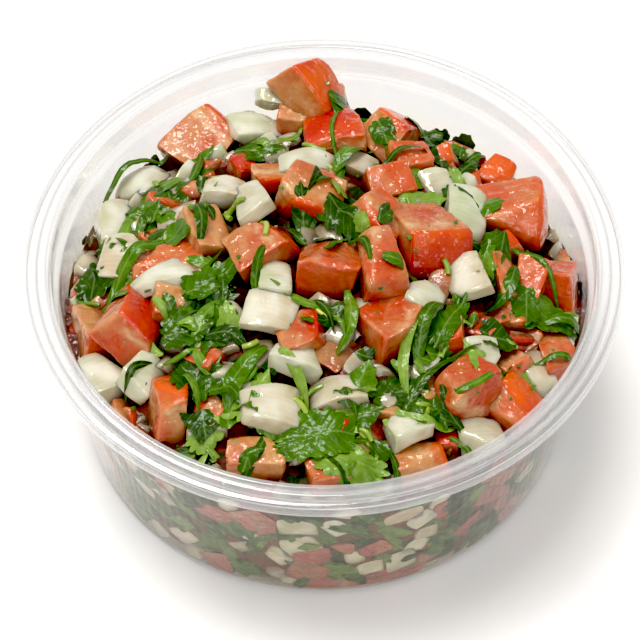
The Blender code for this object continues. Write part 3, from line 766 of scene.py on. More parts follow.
def shapeOnion(grid, half, cuts, draw, crisp):
    # A cut piece of one curved layer: z falls by bend times x squared, and the width is multiplied by
    # 1 + taper (0.2 - (x / half the length) ^ 2). Grain runs across the layer.
    points, edge = cutPiece(grid, half, cuts, crisp)
    phase = draw.uniform(0, 99)
    relief = onionDice["relief"] * bumps(points, onionDice["reliefPitch"], phase)
    points = points * (1 + relief / half.min())[:, None]
    high, pitch = onionDice["grainWave"]
    grain = points[:, 1] + high * bumps(points, pitch, phase)
    x = points[:, 0]
    taper = onionDice["tapers"][int(half[0] > onionDice["longFrom"] * half[1])]
    points[:, 1] *= 1 + taper * (0.2 - (x / half[0]) ** 2)
    points[:, 2] -= onionDice["bend"] * (x ** 2 - half[0] ** 2 / 3)
    return points, grain, edge


def layDice(row, draw, own, coarse, cells, heights, tomato):
    # Settle the piece by its coarse form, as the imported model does, then put the fine form there.
    x, y, rise, length, width, height, turn, lean, roll = row[:9]
    half = 0.5 * np.array((length, width, height))
    cuts = knifeCuts(half, draw)
    matrix = turning(turn, lean, roll + draw.uniform(-knife["roll"], knife["roll"])).T
    grid, faces = coarseGrids[coarse]
    points = cutPiece(grid, half, cuts, knife["crisp"])[0] @ matrix
    place = np.array((x, y, dome(x, y) + rise - points[:, 2].max()))
    place[2] -= max(0.0, heights.roomUnder(points + place) + heap["sink"])
    gap = heap["clearance"] + draw.uniform(0.0, heap["coreInset"])
    heights.add(heldInTub(points + place, gap), faces)
    grid, faces = fineGrids[cells]
    if tomato:
        if len(row) > 9:
            skin, ripe = row[9:]
        else:
            skin, ripe = own.choice(("", "top", "front", "right")), own.uniform(0, 1)
        points, depth, edge = shapeTomato(grid, half, cuts, skin, own, tomatoDice["crisp"])
        points = heldInTub(points @ matrix + place, gap)
        tomatoes.add(points, faces, depth=depth, ripe=ripe, gel=own.uniform(), up=upPiece(points),
                     buried=buriedDepth(points), edge=edge)
    else:
        points, grain, edge = shapeOnion(grid, half, cuts, own, onionDice["crisp"])
        points = heldInTub(points @ matrix + place, gap)
        onions.add(points, faces, grain=grain, tint=own.uniform(), up=upPiece(points),
                   buried=buriedDepth(points), edge=edge)


def fillGaps(draw, own, heights):
    # Smaller dice, tomato and onion by turns, each into the barest spot that is left
    for number in range(fillDice["count"]):
        x, y = heights.barest()
        length, width = draw.uniform(*fillDice["sizes"], 2)
        height = onionDice["layer"] if number % 2 else draw.uniform(*fillDice["heights"])
        rise, turn = draw.uniform(*fillDice["rises"]), draw.uniform(0, 180)
        lean, roll = draw.uniform(-fillDice["tilt"], fillDice["tilt"], 2)
        row = (x, y, rise, length, width, height, turn, lean, roll)
        layDice(row, draw, own, 1, fillDice["fine"], heights, tomato=number % 2 == 0)


def addCrumbs(own, heights):
    # Small bits of both kinds, a ring of them along the wall and the rest in what gaps remain
    reach = tubInside(heap["back"]) - crumbs["ringMargin"]
    for number in range(crumbs["atWall"] + crumbs["count"]):
        angle = (number + own.uniform(-crumbs["jitter"], crumbs["jitter"])) * math.tau / crumbs["atWall"]
        x, y = reach * math.cos(angle), reach * math.sin(angle)
        if number >= crumbs["atWall"]:
            x, y = heights.barest()
        length, width, height = own.uniform(*crumbs["sizes"], 3)
        tilt = own.uniform(-crumbs["tilt"], crumbs["tilt"], 2)
        height *= crumbs["flatness"]
        row = (x, y, own.uniform(*crumbs["rises"]), length, width, height, own.uniform(0, 180), *tilt)
        layDice(row, own, own, 1, crumbs["fine"], heights, tomato=own.uniform() < crumbs["tomatoShare"])


# Leaves, ribbons and stems

leafForm = {
    "thickness": 0.22,
    "lobes": 3,
    "lobeDepth": 0.10,         # as a share of the leaf's reach
    "toothDepth": 0.19,
    "toothPitch": 2.3,         # between the tips of the teeth, in mm
    "folds": (-0.5, 0.35),     # least and most of each bend of a leaf
    "curls": (-0.5, 0.5),
    "waves": (0.15, 0.45),
    "drape": 0.75,             # how closely it follows what it lies on
    "lift": 1.3,               # of a whole leaf over the pieces beneath
    "cuts": (1, 0.5, 0.9),     # their number, and the nearest and farthest as a share of the reach
    "grid": (6, 100),          # rings and points round
    # middle x and y, length, width, turn, shade from 0 dark to 1 light
    "rows": (
        (0.0, -38.5, 22, 10, 6, 0.45), (42.0, -7.5, 18, 9, -12, 0.5), (-22.0, -5.0, 13, 8, 35, 0.4),
        (-24.0, -24.0, 15, 10, 80, 0.2), (-13.5, -31.0, 12, 8, 60, 0.9), (24.0, -15.0, 14, 6, 62, 0.35),
        (4.0, 10.5, 14, 9, -50, 0.1), (19.0, 16.5, 14, 5, 18, 0.9), (21.0, 44.0, 12, 6, -18, 0.4),
        (-34.0, 19.0, 13, 8, 20, 0.45), (-45.0, 2.0, 11, 8, 80, 0.1), (15.0, -29.0, 14, 8, 20, 0.2),
        (4.0, 43.0, 11, 6, -15, 0.3), (-25.0, 26.0, 13, 5, 65, 0.4), (4.5, -43.5, 15, 9, -15, 0.8),
        (-26.5, -16.0, 11, 8, 10, 0.2), (-22.0, -36.5, 10, 6, 35, 1.0), (31.0, 1.0, 11, 6, 75, 0.6),
        (-40.5, 9.0, 10, 6, -20, 0.3), (28.5, 41.5, 9, 6, 20, 0.6), (12.0, 34.0, 8, 5, -70, 0.25),
        (20.0, -32.0, 11, 7, -35, 0.3), (33.5, -15.5, 8, 8, 0, 0.1), (-28.0, 9.0, 10, 6, 40, 0.5),
        (-19.0, -14.0, 10, 7, -60, 0.3), (46.0, 26.0, 7, 5, 80, 0.6), (-15.0, 32.5, 8, 5, 10, 0.3),
    ),
    # middle x and y, spread and number of the bits in a patch where herb gathers
    "bunches": ((-24.0, -16.0, 6.0, 13), (10.0, -34.0, 7.0, 12), (27.0, -19.0, 6.0, 9),
                (-30.0, 17.0, 6.0, 9), (22.0, 42.0, 5.0, 10), (2.0, 11.0, 5.0, 4), (-18.0, -38.0, 6.0, 5)),
}
scraps = {
    "count": 56,               # on top, and a third as many more under the onion
    "lengths": (3.6, 9.5),     # the shortest, and how much more the longest has
    "narrowness": (0.45, 0.9),
    "darker": 1.4,             # power that makes short and dark ones the more common
    "tilt": 22.0,              # most to either side
    "cuts": (3, 0.3, 0.75),
    "lift": (0.1, 1.2),
    "underLift": (0.3, 1.5),
    "bunchLift": (0.2, 1.6),
    "grid": (3, 42),
}
ribbons = {
    "lift": 0.8,               # of the path over the pieces beneath
    "bow": 0.12,               # sideways, as a share of the length
    "twists": (0.4, 1.2),      # most turn at the start and from there to the end, in radians
    # start x and y, end x and y, width, arch over the pieces beneath, shade
    "rows": (
        (-42.0, -5.0, -29.0, 8.0, 3.0, 2.0, 0.5), (-18.0, -34.0, -11.0, -20.0, 4.0, 1.5, 0.5),
        (4.5, -8.0, 2.5, -22.0, 3.0, 1.5, 0.6), (-46.0, 20.0, -31.0, 36.0, 1.3, 5.0, 0.4),
        (5.0, 48.0, 17.0, 45.0, 1.4, 1.0, 0.3), (-9.0, -23.0, -3.0, -34.0, 2.6, 1.5, 0.9),
        (-31.0, -14.0, -22.0, -16.0, 1.8, 1.0, 0.9), (35.0, 8.0, 46.0, -4.0, 1.2, 1.0, 0.4),
        (18.0, -25.0, 24.0, -9.0, 3.0, 2.0, 0.3), (15.0, -34.0, 30.0, -19.0, 2.6, 1.5, 0.2),
        (-25.0, 34.0, -30.0, 20.0, 2.4, 1.5, 0.3),
    ),
    "rowForm": {"flat": 0.16, "stations": 18, "around": 10, "taper": 0.65},
    # shorter ones laid by chance
    "count": 50,
    "lengths": (5.0, 14.0),
    "widths": (1.0, 3.2),
    "arches": (-0.3, 2.2),
    "darker": 1.4,
    "form": {"flat": 0.1, "stations": 12, "around": 8, "taper": 0.65},
}
cutStems = {
    "count": 36,
    "lengths": (2.0, 6.5),
    "widths": (0.8, 1.5),
    "arches": (-0.2, 0.6),
    "darker": 1.0,
    "form": {"flat": 0.85, "stations": 6, "around": 8, "taper": 0.08},
}
specks = {
    "count": 150,
    "sizes": (0.2, 0.7),       # half of the length
    "narrowness": (0.4, 0.9),
    "flatness": 0.3,
    "roughness": (0.6, 1.2),   # how far the corners are knocked in or out
    "tilt": 30.0,
    "lift": 0.1,
}
leaves = Batch("herbLeaves", ("across", "along", "shade", "buried"))
leavesAtWall = Batch("herbAtWall", leaves.attributes)
stems = Batch("herbStems", ("shade",))
flecks = Batch("herbFlecks", ("shade",))


def leafReach(a, cuts, teeth):
    # Edge of a leaf round its middle, angle a from its tip: 1 + lobeDepth cos(lobes a), less toothDepth
    # times notch, 0 at the middle of each rounded tooth and 1 between two, then cut off along straight
    # lines at distance c in direction b: c / cos(a - b)
    form = leafForm
    notch = np.abs(2 * np.mod(teeth * a / math.tau + 0.5, 1) - 1) ** 2.2
    reach = (1 + form["lobeDepth"] * np.cos(form["lobes"] * a)) * (1 - form["toothDepth"] * notch)
    for direction, distance in cuts:
        facing = np.maximum(np.cos(a - direction), 1e-3)
        reach = np.minimum(reach, distance / facing)
    return reach


def leafSheet(length, width, cuts, fold, curl, wave, phase, rings, angles):
    # A closed thin lens over rings of the outline, u across and v along the leaf. Its middle surface is
    # fold (sqrt(u ^ 2 + 0.4) - 0.63), nearly fold |u|, plus curl v ^ 2 / length and two slanted waves that
    # grow with s, 0 at the middle and 1 at the edge. Half of thickness sqrt(1 - s ^ 8) lies over it and half
    # under it.
    a = np.linspace(0, math.tau, angles, endpoint=False)
    s = np.linspace(0, 1, rings + 1)[1:, None]
    teeth = max(5, round(math.pi * (length + width) / 2 / leafForm["toothPitch"]))
    reach = leafReach(a, cuts, teeth) * s
    u, v = (reach * np.sin(a) * width / 2).ravel(), (reach * np.cos(a) * length / 2).ravel()
    u, v = np.append(u, 0.0), np.append(v, 0.0)
    s = np.append(np.broadcast_to(s, reach.shape).ravel(), 0.0)
    h = fold * (np.sqrt(u ** 2 + 0.4) - 0.63) + curl * v ** 2 / length
    h = h + wave * s * np.sin(0.9 * u + 0.6 * v + phase)
    h = h + 0.4 * wave * s * np.sin(2.1 * v - 1.3 * u + 2 * phase)
    half = leafForm["thickness"] / 2 * np.sqrt(np.clip(1 - s ** 8, 0, 1))
    edge = np.arange((rings - 1) * angles, rings * angles)
    grid = np.vstack((gridFaces(rings, angles), fanFaces(np.arange(angles)[::-1], rings * angles)))
    below = np.arange(len(u)) + len(u)
    below[edge] = edge
    faces = np.vstack((grid, below[grid][:, ::-1]))
    keep = np.append(np.ones(len(u), bool), np.isin(np.arange(len(u)), edge, invert=True))
    number = np.cumsum(keep) - 1
    points = np.vstack((np.stack((u, v, h + half), 1), np.stack((u, v, h - half), 1)))
    return points[keep], number[faces]


def layLeaf(x, y, length, width, turn, shade, draw, level, lift, tilt, cuts, rings, angles):
    # Fold, curl and tilt a leaf, then drape it: z = own height + lift + the map's level under the middle
    # + drape times how much the level at each point differs from that
    form = leafForm
    fold, curl, wave = (draw.uniform(*form[key]) for key in ("folds", "curls", "waves"))
    sheet, faces = leafSheet(length, width, cuts, fold, curl, wave, draw.uniform(0, 9), rings, angles)
    points = sheet @ turning(turn, *tilt).T
    points[:, :2] += (x, y)
    here = levelAt(level, np.array([x]), np.array([y]))[0]
    under = levelAt(level, points[:, 0], points[:, 1])
    points[:, 2] += lift + here + form["drape"] * (under - here)
    points = heldInTub(points, heap["clearance"])
    leaves.add(points, faces, across=sheet[:, 0], along=sheet[:, 1] + 0.5 * length, shade=shade,
               buried=buriedDepth(points))


def tubeAlong(path, radii, flat, twist, sides):
    # An oval section carried along a path: across = radius, thick = radius * flat, turned by the twist
    # from one station to the next, with both ends closed by a fan.
    tangent = np.gradient(path, axis=0)
    tangent /= np.linalg.norm(tangent, axis=1)[:, None]
    across = np.cross(tangent, (0.0, 0.0, 1.0))
    across /= np.linalg.norm(across, axis=1)[:, None]
    above = np.cross(across, tangent)
    a = np.linspace(0, math.tau, sides, endpoint=False)
    c, s = np.cos(twist)[:, None, None], np.sin(twist)[:, None, None]
    one, two = across[:, None] * c + above[:, None] * s, above[:, None] * c - across[:, None] * s
    ring = radii[:, None, None] * (np.cos(a)[:, None] * one + flat * np.sin(a)[:, None] * two)
    points = (path[:, None] + ring).reshape(-1, 3)
    return np.vstack((points, path[:1], path[-1:])), cappedFaces(len(path), sides)


def layStrip(row, draw, level, batch, flat, stations, around, taper):
    # A strip on a bowed path over the map: z = level + lift + arch sin(pi t), and its radius grows from
    # 1 - taper of its full size at both ends
    startX, startY, endX, endY, width, arch, shade = row
    t = np.linspace(0, 1, stations)
    bow = np.sin(math.pi * t)
    chord = np.array((endX - startX, endY - startY))
    side = np.array((-chord[1], chord[0]))
    flatPath = np.array((startX, startY)) + np.outer(t, chord) + np.outer(ribbons["bow"] * bow, side)
    z = levelAt(level, flatPath[:, 0], flatPath[:, 1]) + ribbons["lift"] + arch * bow
    radii = 0.5 * width * (1 - taper + taper * bow ** 0.7)
    first, more = ribbons["twists"]
    twist = draw.uniform(-first, first) + draw.uniform(-more, more) * t
    points, faces = tubeAlong(np.column_stack((flatPath, z)), radii, flat, twist, around)
    points = heldInTub(points, heap["clearance"])
    across = np.cos(np.linspace(0, math.tau, around, endpoint=False)) * width / 2
    values = {"across": np.append(np.tile(across, stations), (0, 0)), "buried": buriedDepth(points),
              "along": np.append(np.repeat(t, around), (0, 1)) * np.hypot(*chord), "shade": shade}
    batch.add(points, faces, **values)


def randomCuts(draw, count, near=0.25, far=0.8):
    # Straight cuts through a leaf: direction from its middle, and distance as a share of its reach
    return [(draw.uniform(0, math.tau), draw.uniform(near, far)) for _ in range(count)]


def spotInHeap(draw, level, tries=3):
    # Of a few points spread evenly over the mouth, the lowest under the dome, so that bits lie in the gaps
    reach = (tubInside(heap["back"]) - heap["leafMargin"]) * np.sqrt(draw.uniform(size=tries))
    angle = draw.uniform(0, math.tau, tries)
    x, y = reach * np.cos(angle), reach * np.sin(angle)
    lowest = np.argmin(levelAt(level, x, y) - dome(x, y))
    return x[lowest], y[lowest]


def layScrap(x, y, draw, level, lift):
    # A chopped bit of leaf, small more often than not, cut straight at a few sides and tilted as it fell
    shortest, more = scraps["lengths"]
    length = shortest + more * draw.uniform() ** scraps["darker"]
    width, turn = length * draw.uniform(*scraps["narrowness"]), draw.uniform(0, 360)
    shade, lift = draw.uniform() ** scraps["darker"], draw.uniform(*lift)
    tilt, cuts = draw.uniform(-scraps["tilt"], scraps["tilt"], 2), randomCuts(draw, *scraps["cuts"])
    layLeaf(x, y, length, width, turn, shade, draw, level, lift, tilt, cuts, *scraps["grid"])


def scatterScraps(count, draw, level, lift):
    # That many scraps, in the gaps of what the level maps
    for _ in range(count):
        layScrap(*spotInHeap(draw, level), draw, level, lift)


def scatterBunches(draw, level):
    # Bits that gather about a middle, normally spread and kept inside the mouth
    mouth = tubInside(heap["back"]) - heap["leafMargin"]
    for middleX, middleY, spread, count in leafForm["bunches"]:
        for _ in range(count):
            x, y = draw.normal((middleX, middleY), spread)
            inside = min(1.0, mouth / math.hypot(x, y))
            layScrap(x * inside, y * inside, draw, level, scraps["bunchLift"])


def scatterStrips(settings, draw, level, batch):
    # Ribbons of leaf, or short cuts of stem, that start in the gaps and run in any direction
    for _ in range(settings["count"]):
        x, y = spotInHeap(draw, level)
        angle, length = draw.uniform(0, math.tau), draw.uniform(*settings["lengths"])
        endX, endY = x + length * math.cos(angle), y + length * math.sin(angle)
        width, arch = draw.uniform(*settings["widths"]), draw.uniform(*settings["arches"])
        row = (x, y, endX, endY, width, arch, draw.uniform() ** settings["darker"])
        layStrip(row, draw, level, batch, **settings["form"])


def scatterFlecks(settings, draw, heights):
    # Specks of leaf stuck to the pieces: flattened cubes, knocked out of shape
    grid, faces = coarseGrids[1]
    for _ in range(settings["count"]):
        x, y = spotInHeap(draw, heights.top, tries=1)
        length, narrow = draw.uniform(*settings["sizes"]), draw.uniform(*settings["narrowness"])
        size = length * np.array((1.0, narrow, settings["flatness"]))
        points = grid * size * draw.uniform(*settings["roughness"], grid.shape)
        turn, tilt = draw.uniform(0, 360), draw.uniform(-settings["tilt"], settings["tilt"], 2)
        points = points @ turning(turn, *tilt).T
        z = heights.top[heights.cells(np.array([x]), np.array([y]))][0]
        flecks.add(points + (x, y, z + settings["lift"]), faces, shade=draw.uniform())


# Materials of the salsa. A layer is its colour, the values where it starts and where it is full, and the
# share of it there. A pattern is a noise: patches per metre, detail and roughness. A relief is its depth in
# mm and its strength.

tomatoLook = {
    "skin": ((0.66, 0.105, 0.002), (0.50, 0.020, 0.004)),      # unripe and ripe, as in the next two
    "rim": ((0.57, 0.140, 0.012), (0.58, 0.055, 0.009)),       # flesh under the skin
    "flesh": ((0.57, 0.270, 0.100), (0.50, 0.068, 0.015)),     # deeper flesh
    "skinDepths": (0.75, 0.45),        # where skin starts and is full
    "fleshFrom": (1.8, 5.5),           # where the deeper flesh starts and is full
    "wander": 4.0,                     # most that noise adds to a depth
    "band": (0.68, 0.45, 0.24),        # pale band under the skin
    "bandDepth": 3.2,
    "bandHalf": (1.5, 0.3),            # from its middle to where it starts and is full
    "bandBreaks": (0.42, 0.6, 0.0, 0.75),  # noise from and to, share from and to
    "streak": ((0.65, 0.38, 0.18), 0.50, 0.80, 0.5),
    "gel": ((0.60, 0.085, 0.012), 1.15, 1.35, 0.7),
    # painted highlight: paler along the cut edges, as wet edges catching the light
    "edgeGlint": ((0.68, 0.45, 0.24), 0.5, 1.0, 0.3),
    "footShade": ((0.68, 0.29, 0.12), 0.7, 0.0, 0.85, "MULTIPLY"),  # painted shade: darker and redder towards a piece's foot
    "juiceAndShade": ((0.10, 0.012, 0.002), 0.15, 1.0, 0.94),          # juice with painted shade over the pieces that lie deep in the gaps
    "speckle": (0.32, 0.68, 0.84, 1.06),   # grain from and to, brightness from and to
    "roughness": (0.3, 0.7, 0.24, 0.46),   # noise from and to, roughness from and to
    "ripeSway": 0.55,                  # how much the cloud pattern adds or takes
    "footSway": 0.15,
    "relief": (0.5, 0.5),
    "reliefOfFilm": (1.2, 1.0),        # of the wet film over it
    "reliefUnderFilm": (0.35, 0.4),    # what still shows through the film
    "patterns": {
        "cloud": (120.0, 1.0, 0.4), "wander": (330.0,), "band": (210.0, 2.0, 0.6), "gel": (200.0, 1.0),
        "grain": (900.0, 3.0, 0.65), "shine": (700.0, 1.0), "lumps": (360.0, 1.5), "film": (480.0, 1.5),
    },
    "finish": {
        "Specular IOR Level": 0.3, "Subsurface Weight": 0.5, "Subsurface Radius": (1.0, 0.3, 0.14),
        "Subsurface Scale": 2.4 * mm, "Coat Weight": 1.0, "Coat Roughness": 0.09,
    },
}


def wetTomato():
    # By depth under the skin: skin, a rim, a pale band and the deeper flesh, whose borders wander. Over the
    # flesh lie streaks, patches of gel and cut edges painted paler as a highlight. A piece is painted redder
    # and darker towards its foot as shade, a fine grain speckles it, and juice with painted shade darkens
    # what is buried.
    look = tomatoLook
    material, tree, shader = newMaterial("wetTomato", look["finish"])
    depth, ripe, gel, up, buried, edge = (attribute(tree, key) for key in tomatoes.attributes)
    pattern = patterns(tree, look["patterns"])
    cloud, grain = pattern["cloud"], pattern["grain"]
    ripeHere = swayed(tree, ripe, cloud, look["ripeSway"])
    skin, rim, flesh = (mixColour(tree, ripeHere, *look[key]) for key in ("skin", "rim", "flesh"))
    deep = calculate(tree, "MULTIPLY_ADD", pattern["wander"], look["wander"], depth)
    base = layOver(tree, rim, deep, flesh, *look["fleshFrom"])
    away = calculate(tree, "SUBTRACT", deep, look["bandDepth"] + look["wander"] / 2)
    near = stretch(tree, calculate(tree, "ABSOLUTE", away), *look["bandHalf"])
    broken = stretch(tree, pattern["band"], *look["bandBreaks"])
    base = mixColour(tree, calculate(tree, "MULTIPLY", near, broken), base, look["band"])
    slant = addNode(tree, "ShaderNodeMapping", {"Vector": objectPlace(tree), "Rotation": (0.5, 0.3, 0.9),
                                                "Scale": (1.0, 0.3, 0.6)}).outputs[0]
    streak = addNode(tree, "ShaderNodeTexNoise", {"Vector": slant, "Scale": 300.0, "Detail": 1.0,
                                                  "Distortion": 0.6}).outputs[0]
    base = layOver(tree, base, streak, *look["streak"])
    base = layOver(tree, base, calculate(tree, "ADD", pattern["gel"], gel), *look["gel"])
    # painted highlight along the cut edges
    base = layOver(tree, base, edge, *look["edgeGlint"])
    isSkin = stretch(tree, depth, *look["skinDepths"])
    base = mixColour(tree, isSkin, base, skin)
    # painted shade, darker and redder towards the foot of each piece
    base = layOver(tree, base, swayed(tree, up, cloud, look["footSway"]), *look["footShade"])
    speckle = calculate(tree, "SUBTRACT", stretch(tree, grain, *look["speckle"]), 1.0)
    onSkin = stretch(tree, isSkin, 0.0, 1.0, 1.0, 0.25)
    speckle = calculate(tree, "MULTIPLY_ADD", speckle, onSkin, 1.0)
    red = stretch(tree, speckle, 0.7, 1.2, 0.85, 1.08)
    bright = addNode(tree, "ShaderNodeCombineXYZ", {0: red, 1: speckle, 2: speckle}).outputs[0]
    base = mixColour(tree, 1.0, base, bright, "MULTIPLY")
    # juice with painted shade: darker the deeper a piece lies under the dome
    base = layOver(tree, base, buried, *look["juiceAndShade"])
    rough = calculate(tree, "MULTIPLY_ADD", grain, 0.4, pattern["lumps"])
    rough = calculate(tree, "MULTIPLY", rough, stretch(tree, isSkin, 0.0, 1.0, 1.0, 0.1))
    under = bump(tree, rough, *look["reliefUnderFilm"])
    film = bump(tree, pattern["film"], *look["reliefOfFilm"], under)
    feed(tree, shader, {"Base Color": base, "Roughness": stretch(tree, pattern["shine"], *look["roughness"]),
                        "Normal": bump(tree, rough, *look["relief"]), "Coat Normal": film})
    return material


onionLook = {
    "white": (0.57, 0.55, 0.40),
    "green": ((0.52, 0.57, 0.34), 0.9, 1.35, 0.9),
    "stained": ((0.62, 0.47, 0.30), 0.1, 0.45, 0.8),
    "milky": ((0.83, 0.82, 0.71), 0.38, 0.64, 0.7),
    "lines": ((0.83, 0.82, 0.71), 0.4, 1.0, 0.12),     # along the grain
    "lineTurn": 5.2,                   # of the wave of lines, in radians a millimetre
    "seeThroughShade": ((0.50, 0.49, 0.33), 0.0, 1.0, 0.8),     # painted see-through shade: darker and greyer at the cut edges, where light shines through
    # painted shade: warmer and darker towards a piece's foot
    "footShade": ((0.84, 0.76, 0.56), 0.6, 0.0, 0.8, "MULTIPLY"),
    # juice with painted shade over the pieces that lie deep
    "juiceAndShade": ((0.15, 0.075, 0.02), 0.1, 1.0, 0.95),
    "edgeSway": 0.25,
    "footSway": 0.2,
    "relief": (0.35, 0.6),
    "reliefOfFilm": (0.5, 1.0),
    "patterns": {"cloud": (190.0,), "milk": (200.0, 1.0, 0.4), "lumps": (340.0,)},
    "finish": {
        "Roughness": 0.16, "Transmission Weight": 0.06, "IOR": 1.38, "Subsurface Weight": 0.9,
        "Subsurface Radius": (1.0, 0.95, 0.85), "Subsurface Scale": 2.1 * mm,
        "Coat Weight": 0.9, "Coat Roughness": 0.05,
    },
}


def clearOnion():
    # Pearly white, greener or stained from piece to piece, with milky patches, faint lines along the grain
    # and cut edges painted darker and greyer where light shines through. A piece is painted warmer and darker
    # towards its foot as shade, and juice with painted shade darkens what is buried.
    look = onionLook
    material, tree, shader = newMaterial("clearOnion", look["finish"])
    grain, tint, up, buried, edge = (attribute(tree, key) for key in onions.attributes)
    pattern = patterns(tree, look["patterns"])
    cloud = pattern["cloud"]
    wave = calculate(tree, "SINE", calculate(tree, "MULTIPLY", grain, look["lineTurn"]))
    base = layOver(tree, look["white"], calculate(tree, "ADD", cloud, tint), *look["green"])
    base = layOver(tree, base, calculate(tree, "SUBTRACT", cloud, tint), *look["stained"])
    base = layOver(tree, base, pattern["milk"], *look["milky"])
    base = layOver(tree, base, wave, *look["lines"])
    # painted see-through shade at the cut edges
    base = layOver(tree, base, swayed(tree, edge, cloud, look["edgeSway"]), *look["seeThroughShade"])
    # painted shade, warmer and darker towards the foot of each piece
    base = layOver(tree, base, swayed(tree, up, cloud, look["footSway"]), *look["footShade"])
    # juice with painted shade: darker the deeper a piece lies
    base = layOver(tree, base, buried, *look["juiceAndShade"])
    relief = calculate(tree, "MULTIPLY_ADD", wave, 0.02, pattern["lumps"])
    feed(tree, shader, {"Base Color": base, "Normal": bump(tree, relief, *look["relief"]),
                        "Coat Normal": bump(tree, relief, *look["reliefOfFilm"])})
    return material


leafLook = {
    "dark": (0.016, 0.052, 0.001),
    "mid": ((0.060, 0.155, 0.002), 0.0, 0.5),
    "light": ((0.24, 0.37, 0.065), 0.5, 1.05),
    "vein": (0.34, 0.46, 0.16),
    "veinShare": 0.26,
    "veinPitch": 2.1,          # between side veins, in mm
    "veinSlope": 1.1,          # how much further along they lie for each step across
    "veinWander": 3.0,
    "sideVein": (0.16, 0.03),  # how far from its middle it starts and is full
    "rib": (0.25, 0.08),
    "relief": (0.5, 0.8),
    # juice with painted shade over the leaves that lie deep
    "juiceAndShade": ((0.028, 0.040, 0.004), 0.9, 3.4, 0.85),
    "patterns": {"cloud": (260.0, 3.0, 0.55), "wander": (150.0,), "pucker": (480.0,)},
    "finish": {"Roughness": 0.42, "Specular IOR Level": 0.2, "Coat Weight": 0.4, "Coat Roughness": 0.08},
}


def herbLeaf():
    # Dark to light from leaf to leaf and in patches. Side veins lie where along - veinSlope |across| is a
    # whole number of pitches, and the main rib where across is 0. Juice with painted shade darkens what is
    # buried.
    look = leafLook
    material, tree, shader = newMaterial("herbLeaf", look["finish"])
    across, along, shade, buried = (attribute(tree, key) for key in leaves.attributes)
    pattern = patterns(tree, look["patterns"])
    lightness = swayed(tree, shade, pattern["cloud"], 0.2, 0.25)
    base = layOver(tree, look["dark"], lightness, *look["mid"])
    base = layOver(tree, base, lightness, *look["light"])
    across = calculate(tree, "ABSOLUTE", across)
    along = calculate(tree, "MULTIPLY_ADD", pattern["wander"], look["veinWander"], along)
    slope = calculate(tree, "MULTIPLY_ADD", across, -look["veinSlope"], along)
    toVein = calculate(tree, "PINGPONG", slope, look["veinPitch"] / 2)
    side = calculate(tree, "MULTIPLY", stretch(tree, toVein, *look["sideVein"]), 0.6)
    veins = calculate(tree, "MAXIMUM", side, stretch(tree, across, *look["rib"]))
    base = mixColour(tree, calculate(tree, "MULTIPLY", veins, look["veinShare"]), base, look["vein"])
    # juice with painted shade: darker the deeper a leaf lies
    base = layOver(tree, base, buried, *look["juiceAndShade"])
    pucker = calculate(tree, "MULTIPLY_ADD", toVein, 0.18, pattern["pucker"])
    relief = bump(tree, pucker, *look["relief"])
    feed(tree, shader, {"Base Color": base, "Normal": relief, "Coat Normal": relief})
    return material


stemLook = {
    "herbStem": ((0.10, 0.24, 0.02), (0.42, 0.50, 0.10)),      # darkest and lightest
    "herbFleck": ((0.03, 0.10, 0.01), (0.16, 0.30, 0.04)),
    "relief": (0.12, 0.6),
    "patterns": {"cloud": (500.0,), "lumps": (1400.0,)},
    "finish": {"Roughness": 0.28, "Coat Weight": 0.4, "Coat Roughness": 0.1},
}


def herbStem(name):
    # Dark to light from bit to bit and in patches, with a fine relief
    look = stemLook
    material, tree, shader = newMaterial(name, look["finish"])
    pattern = patterns(tree, look["patterns"])
    lightness = swayed(tree, attribute(tree, "shade"), pattern["cloud"], 0.25, 0.25)
    feed(tree, shader, {"Base Color": mixColour(tree, lightness, *look[name]),
                        "Normal": bump(tree, pattern["lumps"], *look["relief"])})
    return material


mashLook = {
    "shadedGaps": ((0.050, 0.014, 0.003), (0.16, 0.022, 0.005), (0.015, 0.032, 0.002)),      # juice, tomato, leaf, painted dark as shade in the gaps
    "wall": ((0.12, 0.080, 0.028), (0.16, 0.055, 0.016), (0.045, 0.055, 0.012)),       # at the clear wall
    "tomato": (0.42, 0.58),    # where a patch of each starts and is full
    "leaf": (0.50, 0.60),
    "relief": (0.6, 0.8),
    "patterns": {"tomato": (170.0,), "leaf": (240.0, 3.0, 0.6), "lumps": (520.0, 3.0, 0.6)},
    "finish": {"Roughness": 0.5, "Specular IOR Level": 0.25},
}


def wetMash():
    # The fine wet mix between the pieces: patches of tomato, leaf and juice, painted dark as shade in the
    # gaps of the heap
    look = mashLook
    material, tree, shader = newMaterial("wetMash", look["finish"])
    pattern = patterns(tree, look["patterns"])
    isTomato, isLeaf = (stretch(tree, pattern[key], *look[key]) for key in ("tomato", "leaf"))
    colours = []
    for juiceAndShade, tomato, leaf in (look["shadedGaps"], look["wall"]):
        colours.append(mixColour(tree, isLeaf, mixColour(tree, isTomato, juiceAndShade, tomato), leaf))
    feed(tree, shader, {"Base Color": mixColour(tree, attribute(tree, "wall"), *colours),
                        "Normal": bump(tree, pattern["lumps"], *look["relief"])})
    return material


# The core and the layer against the clear wall

mash = {
    "sides": 180,
    "wallRings": 14,
    "topRings": 40,
    "relief": 1.1,             # height of the top's bumps
    "reliefPitches": (3.4, 1.7),
    "sink": 0.6,               # how far the top lies under coreLevel
    "reachIn": 0.12,           # how far what fills the tub reaches into its wall
}


